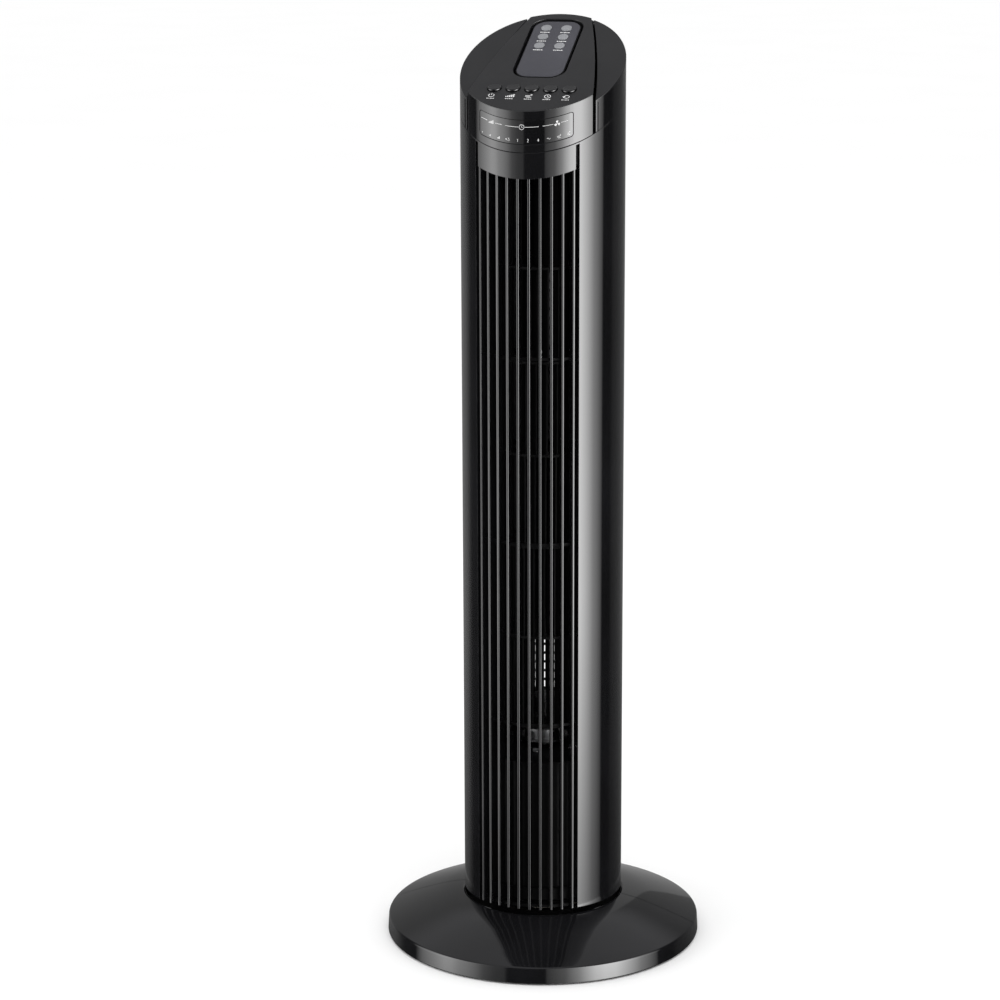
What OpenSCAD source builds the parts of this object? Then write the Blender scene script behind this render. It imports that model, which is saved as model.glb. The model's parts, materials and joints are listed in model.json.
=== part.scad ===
// Tower fan: round base, oscillating tower with a cross-flow impeller,
// slanted control head and a remote control in a dock on top.
// Frame: origin on the floor under the tower's axis, +Z up, front towards -Y.

/* [Tower] */
// Outer radius of the tower's round body
body_r = 67.5; // [67:0.1:68]
// Wall thickness of the tower's shells
wall = 2.5; // [2.2:0.1:2.6]
// Height of the tower's bottom edge above the floor
tower_bottom = 40; // [39.8:0.1:40.2]
// Height of the slanted seam under the head, on the tower's axis
seam_height = 716.7; // [712:0.1:720]
// Tilt of the seam in degrees, rising to the rear
seam_tilt = 29.4; // [29:0.1:30]

/* [Head] */
// Height of the side shells' slanted top, on the tower's axis
head_height = 741.7; // [741:0.1:743]
// Tilt of the side shells' top in degrees
head_tilt = 28.65; // [28.4:0.05:29]
// Height of the raised control panel's top, on the tower's axis
panel_height = 745.6; // [745:0.1:747]
// Tilt of the control panel's top in degrees
panel_tilt = 26.5; // [26:0.1:27]
// Width of the groove between the panel and the side shells
groove_w = 1.7; // [1.2:0.1:2]
// Half angle of the display window, from the front
display_angle = 35; // [30:1:36]
// Height of the display window along the tower's axis
display_h = 19.5; // [16:0.5:20]

/* [Outlet grille] */
// Number of upright slats
slat_count = 10; // [8:1:10]
// Angle between neighbouring slats
slat_pitch = 7.92; // [7:0.01:7.95]
// Thickness of a slat
slat_t = 2.2; // [2:0.1:2.6]
// Depth of a slat towards the tower's axis
slat_depth = 9; // [7:0.5:9]
// Height of the solid band above the slats
band_h = 21.3; // [18:0.1:22]
// Half angle of the outlet window
window_angle = 39.5; // [39.2:0.1:40]

/* [Inlet grille] */
// Half angle of the inlet window at the rear
inlet_angle = 50; // [46:1:52]
// Pitch of the level inlet bars
inlet_pitch = 8; // [7.5:0.5:10]

/* [Buttons] */
// Radius of a panel button
button_r = 5.85; // [5:0.05:6]
// Distance between neighbouring panel buttons
button_pitch = 15.4; // [15:0.1:16]
// Travel of a panel button
button_travel = 1; // [0.6:0.1:1]

/* [Remote] */
// Width of the remote
remote_w = 41; // [40:0.5:41.5]
// Length of the remote
remote_l = 88.5; // [86:0.5:89]
// Thickness of the remote
remote_t = 8; // [7.8:0.1:8]
// Corner radius of the remote
remote_corner = 11.9; // [10:0.1:12]

/* [Base] */
// Outer radius of the base
base_r = 134.5; // [130:0.5:140]
// Height of the base's rim
rim_h = 13.6; // [12:0.1:15]
// Radius of the crest around the tower
crest_r = 69; // [68:0.5:72]
// Height of the crest
crest_h = 36; // [35:0.1:37]
// Wall thickness of the base's dome
dome_t = 2.8; // [2.4:0.1:3]

/* [Impeller] */
// Outer radius of the impeller
impeller_r = 40; // [36:0.5:40]
// Number of blades around the impeller
blade_count = 28; // [20:1:30]
// Number of stacked impeller segments
segment_count = 6; // [4:1:7]

/* [Swing drive] */
// Teeth of the fixed gear on the neck
fixed_teeth = 48; // [48:48:48]
// Teeth of the drive pinion
pinion_teeth = 16; // [16:16:16]

/* [Hidden] */
$fn = 96;
eps = 0.01;
fit = 0.05;           // radial clearance of a running fit
gap = 0.3;            // clearance between pieces that only lie near each other
big = 400;            // size of a cutting block
split = 0.15;         // half of the reveal between two shell halves
inner_r = body_r - wall;

// Neck and swing drive
column_r = 17;
column_bore = 12;
column_top = 51;
well_floor = 24;
well_t = 3;
well_r = crest_r - dome_t;
flange_r = 40;
flange_t = 4;
nut_r = 33;
thread_r = 22;
ball_r = 3;
ball_ring = 30;
ball_count = 12;
pan_floor = well_floor + flange_t + 2 * ball_r + 0.1;
pan_t = 3;
hub_r = 42;
gear_module = 1;
gear_z = 44.5;
gear_h = 5;
gear_backlash = 0.25;
gear_distance = gear_module * (fixed_teeth + pinion_teeth) / 2 + 0.1;
swing_motor_y = gear_distance + 6;
swing_motor_z = 52;

// Blower
blower_y = 6;
shaft_r = 4;
shelf_z = 164;
motor_z = 88.4;
hub_z = 171;
impeller_z = 190;
segment_h = 78;
stagger = 1.55;       // turn of each segment's blades against the one below
impeller_top = impeller_z + segment_count * segment_h;
bracket_z = 668;
duct_z = shelf_z + 3.2;
duct_top = bracket_z - 0.2;

// Shell details
screw_x = 61.3;
screw_levels = [72, 192, 312, 432, 552, 678];
inlet_z = 194;
inlet_top = 662;
stay_levels = [200, 355, 510];

// Control head, measured along the panel's slope (u) and its normal (n)
slab_t = 2.5;
groove_circle_r = 683;
groove_circle_x = 622;
groove_circle_y = -151.1;
button_u = -42;
board_n = -11;
remote_u = 21.0;
remote_top = -0.3;
remote_bottom = remote_top - remote_t;
remote_split = remote_top - remote_t / 2;
dock_clear = 1.7;
dock_far = 1.5;
dock_floor = remote_bottom - 0.3;
key_r = 4.45;
key_x = 8.45;
key_rows = [13, 26.9, 40.8];

// ---------------------------------------------------------------- helpers

// Point at angle a from the front (towards +X) and radius r
function at(a, r) = [r * sin(a), -r * cos(a)];

// Wedge between two angles from the front
module wedge(a0, a1, r = 200) {
    steps = 12;
    polygon(concat([[0, 0]], [for (i = [0:steps]) at(a0 + (a1 - a0) * i / steps, r)]));
}

// Flat ring
module ring(r_out, r_in) {
    difference() {
        circle(r_out);
        circle(r_in);
    }
}

// Flat ring between two angles from the front
module ring_sector(r_out, r_in, a0, a1) {
    intersection() {
        ring(r_out, r_in);
        wedge(a0, a1);
    }
}

// Upright tube
module tube(r_out, r_in, z0, z1) {
    translate([0, 0, z0]) linear_extrude(z1 - z0) ring(r_out, r_in);
}

// Extrudes a plan shape between two heights
module slice(z0, z1) {
    translate([0, 0, z0]) linear_extrude(z1 - z0) children();
}

// Block above (or below) a plane that rises to the rear
module above(height, tilt) {
    translate([0, 0, height]) rotate([tilt, 0, 0])
        translate([-big / 2, -big / 2, 0]) cube(big);
}

module below(height, tilt) {
    translate([0, 0, height]) rotate([tilt, 0, 0])
        translate([-big / 2, -big / 2, -big]) cube(big);
}

// Places children in the control panel's frame: X across, Y up the slope, Z out
module on_panel(u = 0, n = 0, x = 0) {
    translate([0, 0, panel_height]) rotate([panel_tilt, 0, 0])
        translate([x, u, n]) children();
}

// Rectangle with round corners
module rounded(w, l, r) {
    for (x = [-1, 1], y = [-1, 1])
        translate([x * (w / 2 - r), y * (l / 2 - r)]) circle(r);
    square([w - 2 * r, l], center = true);
    square([w, l - 2 * r], center = true);
}

// Plan of the control panel: the body's disc between two long arcs.
// A positive grow widens it past the middle of the grooves.
module panel_plan(grow, r = body_r) {
    intersection() {
        circle(r);
        between_arcs(grow);
    }
}

// Area between the two long arcs that the grooves follow
module between_arcs(grow) {
    intersection() {
        translate([-groove_circle_x, groove_circle_y])
            circle(groove_circle_r + grow, $fn = 720);
        translate([groove_circle_x, groove_circle_y])
            circle(groove_circle_r + grow, $fn = 720);
    }
}

// Point of a base circle's involute
function involute(base, t) = [
    base * (cos(t) + t * PI / 180 * sin(t)),
    base * (sin(t) - t * PI / 180 * cos(t))
];
// A point turned about the origin, and mirrored in the X axis
function turned(p, a) = [p[0] * cos(a) - p[1] * sin(a), p[0] * sin(a) + p[1] * cos(a)];
function mirrored(p) = [p[0], -p[1]];

// Gear outline with involute flanks
module gear_outline(teeth) {
    pitch_r = gear_module * teeth / 2;
    base = pitch_r * cos(20);
    tip_r = pitch_r + 0.9 * gear_module;
    root_r = pitch_r - 1.2 * gear_module;
    t_tip = sqrt(pow(tip_r / base, 2) - 1) * 180 / PI;
    t_pitch = tan(20) * 180 / PI;
    half = 90 / teeth - gear_backlash / 4 / pitch_r * 180 / PI + (t_pitch - 20);
    flank = [for (i = [0:4]) turned(involute(base, t_tip * i / 4), -half)];
    foot = turned([root_r, 0], -half);
    tooth = concat([foot], flank, [for (i = [4:-1:0]) mirrored(flank[i])], [mirrored(foot)]);
    polygon([for (k = [0:teeth - 1]) for (p = tooth) turned(p, k * 360 / teeth)]);
}

// ---------------------------------------------------------------- base

// Outer line of the dome, from the rim up to the crest, bulging a little
function dome_line() = [
    [base_r - 1, 1.2], [base_r, 2.2], [base_r - 0.6, rim_h - 3],
    [base_r - 1.4, rim_h - 0.9], [base_r - 3.2, rim_h + 0.9],
    [base_r - 19, 22.1], [base_r - 34, 27.6], [base_r - 48, 32.2], [base_r - 57, 34.3],
    [crest_r + 1.5, crest_h - 0.4], [crest_r, crest_h], [crest_r - 1.5, crest_h - 0.5]
];

// Front half of the base's shell, cut along the base's split line
module dome_half() {
    difference() {
        intersection() {
            rotate_extrude() polygon(concat(
                dome_line(),
                [
                    [well_r + 1.3, well_floor], [thread_r + fit, well_floor],
                    [thread_r + fit, well_floor - well_t], [well_r + 1.3 + dome_t, well_floor - well_t],
                    [crest_r + 1, crest_h - 4], [base_r - 49, 29], [base_r - 20, 19],
                    [base_r - 4, rim_h - 3.2], [base_r - dome_t, rim_h - 5], [base_r - dome_t, 1.2]
                ]
            ));
            translate([-big / 2, -big - split, -1]) cube([big, big, 60]);
        }
        for (a = [0, 180]) rotate(a) translate([32, 0, 10]) cylinder(r = 2.6, h = 20);
    }
}

// Bosses on the underside that the rubber feet plug into
module foot_bosses() {
    for (a = [202.5:45:338]) rotate(a) translate([118, 0, 0]) {
        difference() {
            translate([0, 0, 3.1]) cylinder(r = 6, h = 15);
            translate([0, 0, 3]) cylinder(r = 3, h = 6);
        }
    }
}

// Stiffening ribs under the dome
module base_ribs() {
    for (a = [225:30:315]) rotate(a) translate([78, -1, 6]) cube([44, 2, 13.5]);
}

module base_half() {
    dome_half();
    foot_bosses();
    base_ribs();
}

// Front half of the base
module base_front() {
    color([0.05, 0.05, 0.06]) base_half();
}

// Bore through the rim for the cord gland
module gland_hole(r) {
    translate([0, base_r + 5, 7.3]) rotate([90, 0, 0]) cylinder(r = r, h = 30);
}

// Rear half of the base, with the cord's exit
module base_rear() {
    color([0.05, 0.05, 0.06]) difference() {
        rotate(180) base_half();
        gland_hole(4.7);
        translate([0, base_r + 2, 7.3]) rotate([90, 0, 0]) cylinder(r = 6, h = 3.4);
    }
}

// Bushing that the mains cord passes through
module cord_gland() {
    color([0.1, 0.1, 0.1]) difference() {
        union() {
            translate([0, base_r - 0.3, 7.3]) rotate([90, 0, 0]) cylinder(r = 5.9, h = 1);
            translate([0, base_r - 0.3, 7.3]) rotate([90, 0, 0]) cylinder(r = 4.6, h = 12);
        }
        gland_hole(3.4);
    }
}

// Eight rubber feet with plug-in stems
module rubber_feet() {
    color([0.08, 0.08, 0.08]) for (a = [22.5:45:359]) rotate(a) translate([118, 0, 0]) {
        cylinder(r = 8, h = 3);
        cylinder(r = 2.95, h = 8.5);
    }
}

// Hollow swivel column, clamped through the well's floor; the cord runs up its bore
module neck_column() {
    color([0.12, 0.12, 0.13]) difference() {
        union() {
            translate([0, 0, 8]) cylinder(r = thread_r, h = well_floor - 8 + 1);
            translate([0, 0, well_floor]) cylinder(r = flange_r, h = flange_t);
            translate([0, 0, well_floor + 1]) cylinder(r = column_r, h = column_top - well_floor - 1);
            for (a = [0, 180]) rotate(a) translate([32, 0, well_floor - 2.6])
                cylinder(r = 2.5, h = 4);
        }
        translate([0, 0, 7]) cylinder(r = column_bore, h = column_top);
        tube(column_r + 2, column_r - 1.5, pan_floor + pan_t + 0.3, pan_floor + pan_t + 2.3);
    }
}

// Ring nut that clamps the column and both base halves together
module base_nut() {
    top = well_floor - well_t;
    color([0.14, 0.14, 0.15]) difference() {
        union() {
            translate([0, 0, top - 9]) cylinder(r = nut_r - 4, h = 9);
            translate([0, 0, top - 2.5]) cylinder(r = nut_r, h = 2.5);
            for (a = [0:45:359]) rotate(a) translate([nut_r - 6, -2, top - 9]) cube([6, 4, 9]);
        }
        translate([0, 0, top - 10]) cylinder(r = thread_r + fit, h = 12);
    }
}

// Gear fixed round the column; the swing pinion rolls round it
module fixed_gear() {
    color([0.85, 0.84, 0.78]) difference() {
        translate([0, 0, gear_z - 0.5]) linear_extrude(gear_h + 1) gear_outline(fixed_teeth);
        translate([0, 0, gear_z - 2]) cylinder(r = column_r, h = gear_h + 4);
    }
}

// Balls that carry the tower on the column's flange
module bearing_balls() {
    color("silver") for (k = [0:ball_count - 1]) rotate(k * 360 / ball_count)
        translate([ball_ring, 0, well_floor + flange_t + ball_r]) sphere(r = ball_r - 0.02);
}

// Cage that keeps the balls apart
module bearing_cage() {
    color([0.9, 0.9, 0.88]) difference() {
        tube(ball_ring + 4.5, ball_ring - 4.5, well_floor + flange_t + 1.6, well_floor + flange_t + 4.4);
        for (k = [0:ball_count - 1]) rotate(k * 360 / ball_count)
            translate([ball_ring, 0, well_floor]) cylinder(r = ball_r + 0.2, h = 20);
    }
}

// Split washer that keeps the tower on the column
module swivel_retainer() {
    z0 = pan_floor + pan_t + 0.4;
    color([0.7, 0.7, 0.72]) difference() {
        tube(22, column_r - 1.4, z0, z0 + 1.8);
        translate([-3, -30, z0 - 1]) cube([6, 30, 4]);
    }
}

// ---------------------------------------------------------------- tower, lower end

// Floor of the tower: swivel hub, swing motor posts and circuit board clips
module bottom_pan() {
    color([0.1, 0.1, 0.11]) {
        difference() {
            union() {
                translate([0, 0, pan_floor]) cylinder(r = hub_r, h = 44 - pan_floor);
                translate([0, 0, 41]) cylinder(r = 57.2, h = 3);
                slice(41, 44) ring_sector(inner_r - 0.2, 50, 42, 318);
                slice(41, 52) ring_sector(inner_r - 0.2, inner_r - 2.4, 44, 316);
            }
            translate([0, 0, pan_floor + pan_t]) cylinder(r = hub_r - 2.5, h = 20);
            translate([0, 0, pan_floor - 1]) cylinder(r = column_r + fit, h = 10);
        }
        for (x = [-29, 29]) translate([x, swing_motor_y, 43]) difference() {
            cylinder(r = 4, h = swing_motor_z - 43);
            translate([0, 0, 2]) cylinder(r = 1.45, h = 12);
        }
        for (x = [-1, 1]) difference() {
            translate([x * 30 - 2.5, 46, 43]) cube([5, 5, 37]);
            translate([x * 29 - 2.1, 47, 72]) cube([4.2, 1.8, 10]);
        }
    }
}

// Curved cover behind the slats that hides the motor compartment
module motor_cover() {
    color([0.06, 0.06, 0.06]) {
        slice(44.2, shelf_z - 0.2) ring_sector(55, 53.2, -46, 46);
    }
}

// Geared synchronous motor of the swing drive
module swing_motor() {
    color([0.75, 0.75, 0.77]) {
        translate([0, swing_motor_y, swing_motor_z]) {
            cylinder(r = 24.3, h = 15);
            linear_extrude(1) difference() {
                hull() {
                    translate([-29, 0]) circle(3.8);
                    translate([29, 0]) circle(3.8);
                }
                for (x = [-29, 29]) translate([x, 0]) circle(1.7);
            }
            translate([-8, 20, 2]) cube([16, 5.5, 8]);
        }
        difference() {
            translate([0, gear_distance, swing_motor_z - 1.6]) cylinder(r = 5, h = 2);
            translate([0, gear_distance, swing_motor_z - 3]) cylinder(r = 2.6, h = 3);
        }
    }
}

// Pinion on the swing motor's shaft
module swing_pinion() {
    color([0.92, 0.9, 0.82]) translate([0, gear_distance, 0]) {
        rotate(180 / pinion_teeth) translate([0, 0, gear_z]) linear_extrude(gear_h)
            gear_outline(pinion_teeth);
        cylinder_between(2.5, gear_z, swing_motor_z - 0.1);
    }
}

// Upright cylinder between two heights
module cylinder_between(r, z0, z1) {
    translate([0, 0, z0]) cylinder(r = r, h = z1 - z0);
}

// Power board with relay, capacitors and terminals
module power_board() {
    color([0.1, 0.35, 0.16]) translate([-31, 47.1, 72.2]) cube([62, 1.6, 50]);
    color([0.2, 0.2, 0.2]) {
        translate([-20, 48.7, 84]) cube([18, 8, 16]);
        translate([4, 48.7, 80]) cube([12, 7, 10]);
        translate([4, 48.7, 96]) cube([16, 4, 12]);
    }
    color([0.2, 0.3, 0.6]) for (x = [-14, 0]) translate([x, 48.7, 112]) rotate([-90, 0, 0])
        cylinder(r = 4, h = 9);
}

// ---------------------------------------------------------------- tower shells

// Tabs inside the split line that take the housing screws
module screw_tab(s, y0, y1) {
    for (z = screw_levels)
        translate([s > 0 ? 58.2 : -65.6, y0, z - 5]) cube([7.4, y1 - y0, 10]);
}

// Holes for the housing screws
module screw_holes(r, y0, y1) {
    for (s = [-1, 1], z = screw_levels)
        translate([s * screw_x, y0, z]) rotate([-90, 0, 0]) cylinder(r = r, h = y1 - y0);
}

// Front shell: two side strips, the bottom hoop and the band behind the grille's top
module front_housing() {
    color([0.04, 0.04, 0.05]) difference() {
        union() {
            for (s = [-1, 1]) {
                slice(tower_bottom, 760)
                    ring_sector(body_r, inner_r, s > 0 ? window_angle : -90 + split,
                        s > 0 ? 90 - split : -window_angle);
                slice(46, 760) rotate(s * (window_angle + 1.6)) translate([-1, -inner_r - 0.5])
                    square([2, 9.5]);
                screw_tab(s, -12, -split);
            }
            slice(46, 56) ring_sector(inner_r - 6.8, inner_r - 8.8, -window_angle - 2, window_angle + 2);
            difference() {
                slice(650, 760)
                    ring_sector(inner_r - 0.2, inner_r - 2, -window_angle - 2.4, window_angle + 2.4);
                below(seam_height - band_h + 1.5, seam_tilt);
            }
        }
        above(seam_height - gap, seam_tilt);
        screw_holes(1.4, -11, 1);
    }
}

// Outlet grille: slats, solid band above them, bottom tie and stays
module outlet_grille() {
    half = (slat_count - 1) / 2 * slat_pitch;
    edge = half + 1.02;
    color([0.05, 0.05, 0.06]) difference() {
        union() {
            for (i = [0:slat_count - 1]) slice(tower_bottom, 730) intersection() {
                rotate(-half + i * slat_pitch) translate([-slat_t / 2, -body_r - 1])
                    square([slat_t, slat_depth + 1]);
                circle(body_r);
            }
            difference() {
                slice(640, 730) ring_sector(body_r, inner_r, -edge, edge);
                below(seam_height - band_h, seam_tilt);
            }
            difference() {
                slice(640, 730)
                    ring_sector(body_r - 0.02, inner_r + 0.02, -window_angle + 0.2, window_angle - 0.2);
                below(seam_height - 1.8, seam_tilt);
            }
            slice(tower_bottom + 0.6, tower_bottom + 3)
                ring_sector(body_r - 5.5, body_r - 7.5, -half - 2, half + 2);
            for (z = stay_levels) slice(z, z + 2.4)
                ring_sector(body_r - 6.5, body_r - 8.8, -half - 2.4, half + 2.4);
        }
        above(seam_height - gap, seam_tilt);
        intersection() {
            slice(600, 760) circle(inner_r + eps);
            above(seam_height - band_h + 1.2, seam_tilt);
        }
    }
}

// Room of the hand grip in the rear shell
module grip_space(grow = 0) {
    translate([-40 - grow, 46 - grow, 694 - grow]) cube([80 + 2 * grow, 40, 26 + 2 * grow]);
}

// Rear shell with the inlet window and the hand grip
module rear_housing() {
    color([0.04, 0.04, 0.05]) difference() {
        union() {
            slice(tower_bottom, 760) ring_sector(body_r, inner_r, 90 + split, 270 - split);
            for (s = [-1, 1]) screw_tab(s, split, 10);
            intersection() {
                grip_space(2);
                slice(680, 740) circle(inner_r + 1);
            }
        }
        slice(inlet_z, inlet_top) wedge(180 - inlet_angle, 180 + inlet_angle);
        grip_space();
        above(seam_height - gap, seam_tilt);
        screw_holes(1.7, 0, 11);
        screw_holes(3.4, 10, 50);
    }
}

// Inlet grille: level bars and upright ribs
module rear_grille() {
    open = inlet_angle - 0.25;
    rib_step = open * 2 / 5;
    color([0.05, 0.05, 0.06]) {
        for (i = [0:5]) slice(inlet_z + gap, inlet_top - gap)
            rotate(180 - open + i * rib_step + (i == 0 ? 1.2 : (i == 5 ? -1.2 : 0)))
            translate([-1.2, -body_r + 0.6]) square([2.4, 4.4]);
        for (z = [inlet_z + gap:inlet_pitch:inlet_top - 2.6]) translate([0, 0, z])
            rotate(90 - open) rotate_extrude(angle = 2 * open)
                translate([body_r - 2.6, 0]) square([2.5, 2.2]);
        for (z = [inlet_z + 8, inlet_top - 14], s = [-1, 1]) rotate(180 + s * (inlet_angle - 1))
            slice(z, z + 6) ring_sector(inner_r - 0.3, inner_r - 1.9, -3, 3);
    }
}

// ---------------------------------------------------------------- blower

// Point of the scroll's spiral at angle a, grown outwards by grow
function scroll_point(a, grow) = [
    (43 + grow + 0.2775 * (a - 140)) * cos(a),
    blower_y + (43 + grow + 0.2775 * (a - 140)) * sin(a)
];

// Curved rear wall of the blower's duct
module duct_scroll() {
    steps = 18;
    a_end = 227;
    color([0.12, 0.12, 0.13]) slice(duct_z, duct_top) {
        polygon(concat(
            [for (i = [0:steps]) scroll_point(140 + (a_end - 140) * i / steps, 0)],
            [for (i = [steps:-1:0]) scroll_point(140 + (a_end - 140) * i / steps, 1.6)]
        ));
        polygon([scroll_point(140, 0), scroll_point(140, 1.6), [-45.3, 40.6], [-45.3, 38.8]]);
    }
}

// Tongue between the impeller and the outlet
module duct_tongue() {
    color([0.12, 0.12, 0.13]) slice(duct_z, duct_top) {
        polygon([
            [39.6, -42.6], [33.6, -22.4], [34.6, -19.4], [37, -19.6], [47.5, -6], [51.5, 8],
            [51.6, 22], [46.4, 38.2], [47.8, 38.8], [53.2, 22.4], [53.1, 8], [49, -7.2],
            [37.4, -22], [41.2, -42.6]
        ]);
    }
}

// Disc that leaves room for the slats at the front
module shelf_disc(z0, z1) {
    slice(z0, z1) difference() {
        circle(inner_r - 0.2);
        ring_sector(body_r + 5, inner_r - 9.3, -44, 44);
    }
}

// Posts that hold the motor under the shelf
module motor_posts(z0, z1, r) {
    for (a = [0:90:359]) translate([31 * cos(a), blower_y + 31 * sin(a), z0])
        cylinder(r = r, h = z1 - z0);
}

// Shelf between the motor compartment and the blower
module motor_shelf() {
    color([0.1, 0.1, 0.11]) difference() {
        union() {
            shelf_disc(shelf_z, shelf_z + 3);
            motor_posts(shelf_z - 12, shelf_z + 1, 4);
        }
        translate([0, blower_y, shelf_z - 1]) cylinder(r = 18, h = 6);
        motor_posts(shelf_z - 13, shelf_z + 4, 1.7);
    }
}

// Places children on the blower's axis, above a height
module around_motor(z = 0) {
    translate([0, blower_y, z]) children();
}

// Laminated stator
module motor_stator() {
    color([0.6, 0.6, 0.62]) around_motor(motor_z) difference() {
        tube(36, 22.7, 17.6, 45.6);
        for (k = [0:7]) rotate(k * 45 + 22.5) translate([28.5, 0, 17]) cylinder(r = 3.4, h = 30);
    }
}

// Stator coils
module motor_windings() {
    color([0.72, 0.35, 0.15]) around_motor(motor_z) {
        tube(32, 24, 7.6, 17.5);
        tube(32, 24, 45.7, 55.6);
        for (k = [0:7]) rotate(k * 45 + 22.5) translate([28.5, 0, 17.1]) cylinder(r = 3.2, h = 29);
    }
}

// Cup-shaped end shield
module shield_cup() {
    difference() {
        union() {
            cylinder(r = 37.5, h = 17.4);
            cylinder(r = 11, h = 4);
        }
        translate([0, 0, 2.4]) difference() {
            cylinder(r = 35, h = 20);
            translate([0, 0, -1]) cylinder(r = 12, h = 7.5);
        }
        translate([0, 0, -1]) cylinder(r = 9, h = 30);
        for (a = [0:60:359]) rotate(a) translate([23, 0, -1]) cylinder(r = 4, h = 3);
    }
}

// Lower end shield of the motor
module motor_lower_shield() {
    color([0.55, 0.55, 0.57]) around_motor(motor_z) shield_cup();
}

// Upper end shield of the motor
module motor_upper_shield() {
    color([0.55, 0.55, 0.57]) difference() {
        around_motor(motor_z + 63.2) mirror([0, 0, 1]) shield_cup();
        motor_posts(motor_z + 56, motor_z + 66, 1.45);
    }
}

// Two sintered bushes that carry the shaft
module motor_bushes() {
    color([0.7, 0.55, 0.3]) around_motor(motor_z) {
        tube(9, shaft_r + fit, 0.1, 8.1);
        tube(9, shaft_r + fit, 55.1, 63.1);
    }
}

// Run capacitor
module motor_capacitor() {
    color([0.85, 0.85, 0.82]) translate([-54.5, -12, 100]) cube([11, 26, 30]);
    color([0.1, 0.1, 0.1]) translate([-51, -4, 130]) cube([4, 10, shelf_z - 130.2]);
}

// Motor shaft
module motor_shaft() {
    color("silver") around_motor() cylinder_between(shaft_r, motor_z - 4.4, 208);
}

// Squirrel-cage rotor
module motor_rotor() {
    color([0.65, 0.65, 0.68]) around_motor(motor_z) {
        tube(22.2, shaft_r, 16.6, 46.6);
        tube(19, 12, 12.6, 16.6);
        tube(19, 12, 46.6, 50.6);
    }
}

// Blade section: a shallow arc that leans forward
module blade() {
    steps = 4;
    radius = [for (i = [0:steps]) 31.4 + 7.6 * i / steps];
    sweep = [for (i = [0:steps]) 3.4 * sin(180 * i / steps) + 8 * i / steps];
    front = [for (i = [0:steps]) turned([radius[i], 0], sweep[i])];
    back = [for (i = [steps:-1:0]) turned([radius[i], 0], sweep[i] + 1.7)];
    polygon(concat(front, back));
}

// One storey of the impeller: a ring plate and its blades
module impeller_segment(k) {
    z0 = impeller_z + k * segment_h;
    slice(z0, z0 + 2) ring(impeller_r, k == 0 ? 12 : 27);
    slice(z0 + 1, z0 + segment_h + 1)
        for (b = [0:blade_count - 1]) rotate(b * 360 / blade_count + (k + 2) * stagger) blade();
}

// Cross-flow impeller, moulded segments welded on top of each other
module impeller_rotor() {
    color([0.13, 0.13, 0.14]) around_motor() {
        for (k = [0:segment_count - 1]) impeller_segment(k);
        slice(impeller_top, impeller_top + 2.5) ring(impeller_r, shaft_r);
        tube(8, shaft_r, impeller_top - 8, impeller_top + 1);
    }
}

// Die-cast hub that grips the motor's shaft, with two flanges under the impeller
module impeller_hub() {
    color([0.55, 0.55, 0.57]) around_motor() difference() {
        union() {
            cylinder_between(20.5, hub_z, hub_z + 2);
            cylinder_between(17, hub_z + 1, hub_z + 11);
            cylinder_between(20.5, hub_z + 9.5, hub_z + 11.5);
            cylinder_between(11.95, hub_z + 11, impeller_z + 18);
            cylinder_between(16, impeller_z + 2.1, impeller_z + 5);
        }
        cylinder_between(shaft_r, hub_z - 1, impeller_z + 20);
        translate([0, 0, impeller_z + 12]) rotate([90, 0, 0]) cylinder(r = 1.6, h = 20);
    }
}

// Pin at the top of the impeller
module impeller_axle() {
    color("silver") around_motor() cylinder_between(shaft_r, impeller_top - 8, 676);
}

// Bracket that carries the impeller's top bearing
module top_bracket() {
    color([0.1, 0.1, 0.11]) difference() {
        union() {
            shelf_disc(bracket_z, bracket_z + 3);
            around_motor() tube(17, 14, bracket_z + 1, bracket_z + 8);
        }
        around_motor() cylinder_between(14, bracket_z - 1, bracket_z + 10);
        for (a = [30:60:359]) rotate(a) translate([40, 0, bracket_z - 1]) cylinder(r = 7, h = 6);
    }
}

// Rubber ring that holds the top bush
module top_bearing_rubber() {
    color([0.08, 0.08, 0.08]) around_motor() difference() {
        tube(13.95, 8, bracket_z + 0.2, bracket_z + 7.4);
        for (a = [0:60:359]) rotate(a) translate([11, 0, bracket_z + 5]) cylinder(r = 1.3, h = 5);
    }
}

// Bush that the impeller's pin runs in
module top_bearing_bush() {
    color([0.72, 0.57, 0.3]) around_motor() tube(7.95, shaft_r + fit, bracket_z, bracket_z + 7.4);
}

// ---------------------------------------------------------------- head

// Two side shells of the head, joined by the rear wall, open for the panel between them
module head_shell() {
    grow = groove_w / 2;
    color([0.05, 0.05, 0.06]) difference() {
        union() {
            difference() {
                slice(660, 800) difference() {
                    ring(body_r, inner_r);
                    intersection() {
                        panel_plan(grow, 90);
                        translate([-80, -80]) square([160, 60]);
                    }
                }
                below(seam_height + gap, seam_tilt);
                intersection() {
                    slice(650, 810) panel_plan(grow, 90);
                    above(head_height - 3.2, head_tilt);
                }
            }
            difference() {
                slice(660, 800) difference() {
                    circle(body_r - 0.5);
                    between_arcs(grow);
                }
                below(head_height - wall, head_tilt);
            }
            difference() {
                slice(660, 800) intersection() {
                    circle(body_r - 0.5);
                    difference() {
                        between_arcs(grow + 1.8);
                        between_arcs(grow);
                    }
                }
                below(head_height - 10, head_tilt);
            }
            difference() {
                slice(660, 800) ring_sector(inner_r + 0.6, inner_r - 2, 54, 306);
                below(seam_height + 1, seam_tilt);
                above(seam_height + 7, seam_tilt);
            }
            difference() {
                slice(660, 800) ring_sector(inner_r - 0.15, inner_r - 2, 54, 306);
                below(seam_height - 6, seam_tilt);
                above(seam_height + 2, seam_tilt);
            }
        }
        above(head_height, head_tilt);
    }
}

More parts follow.
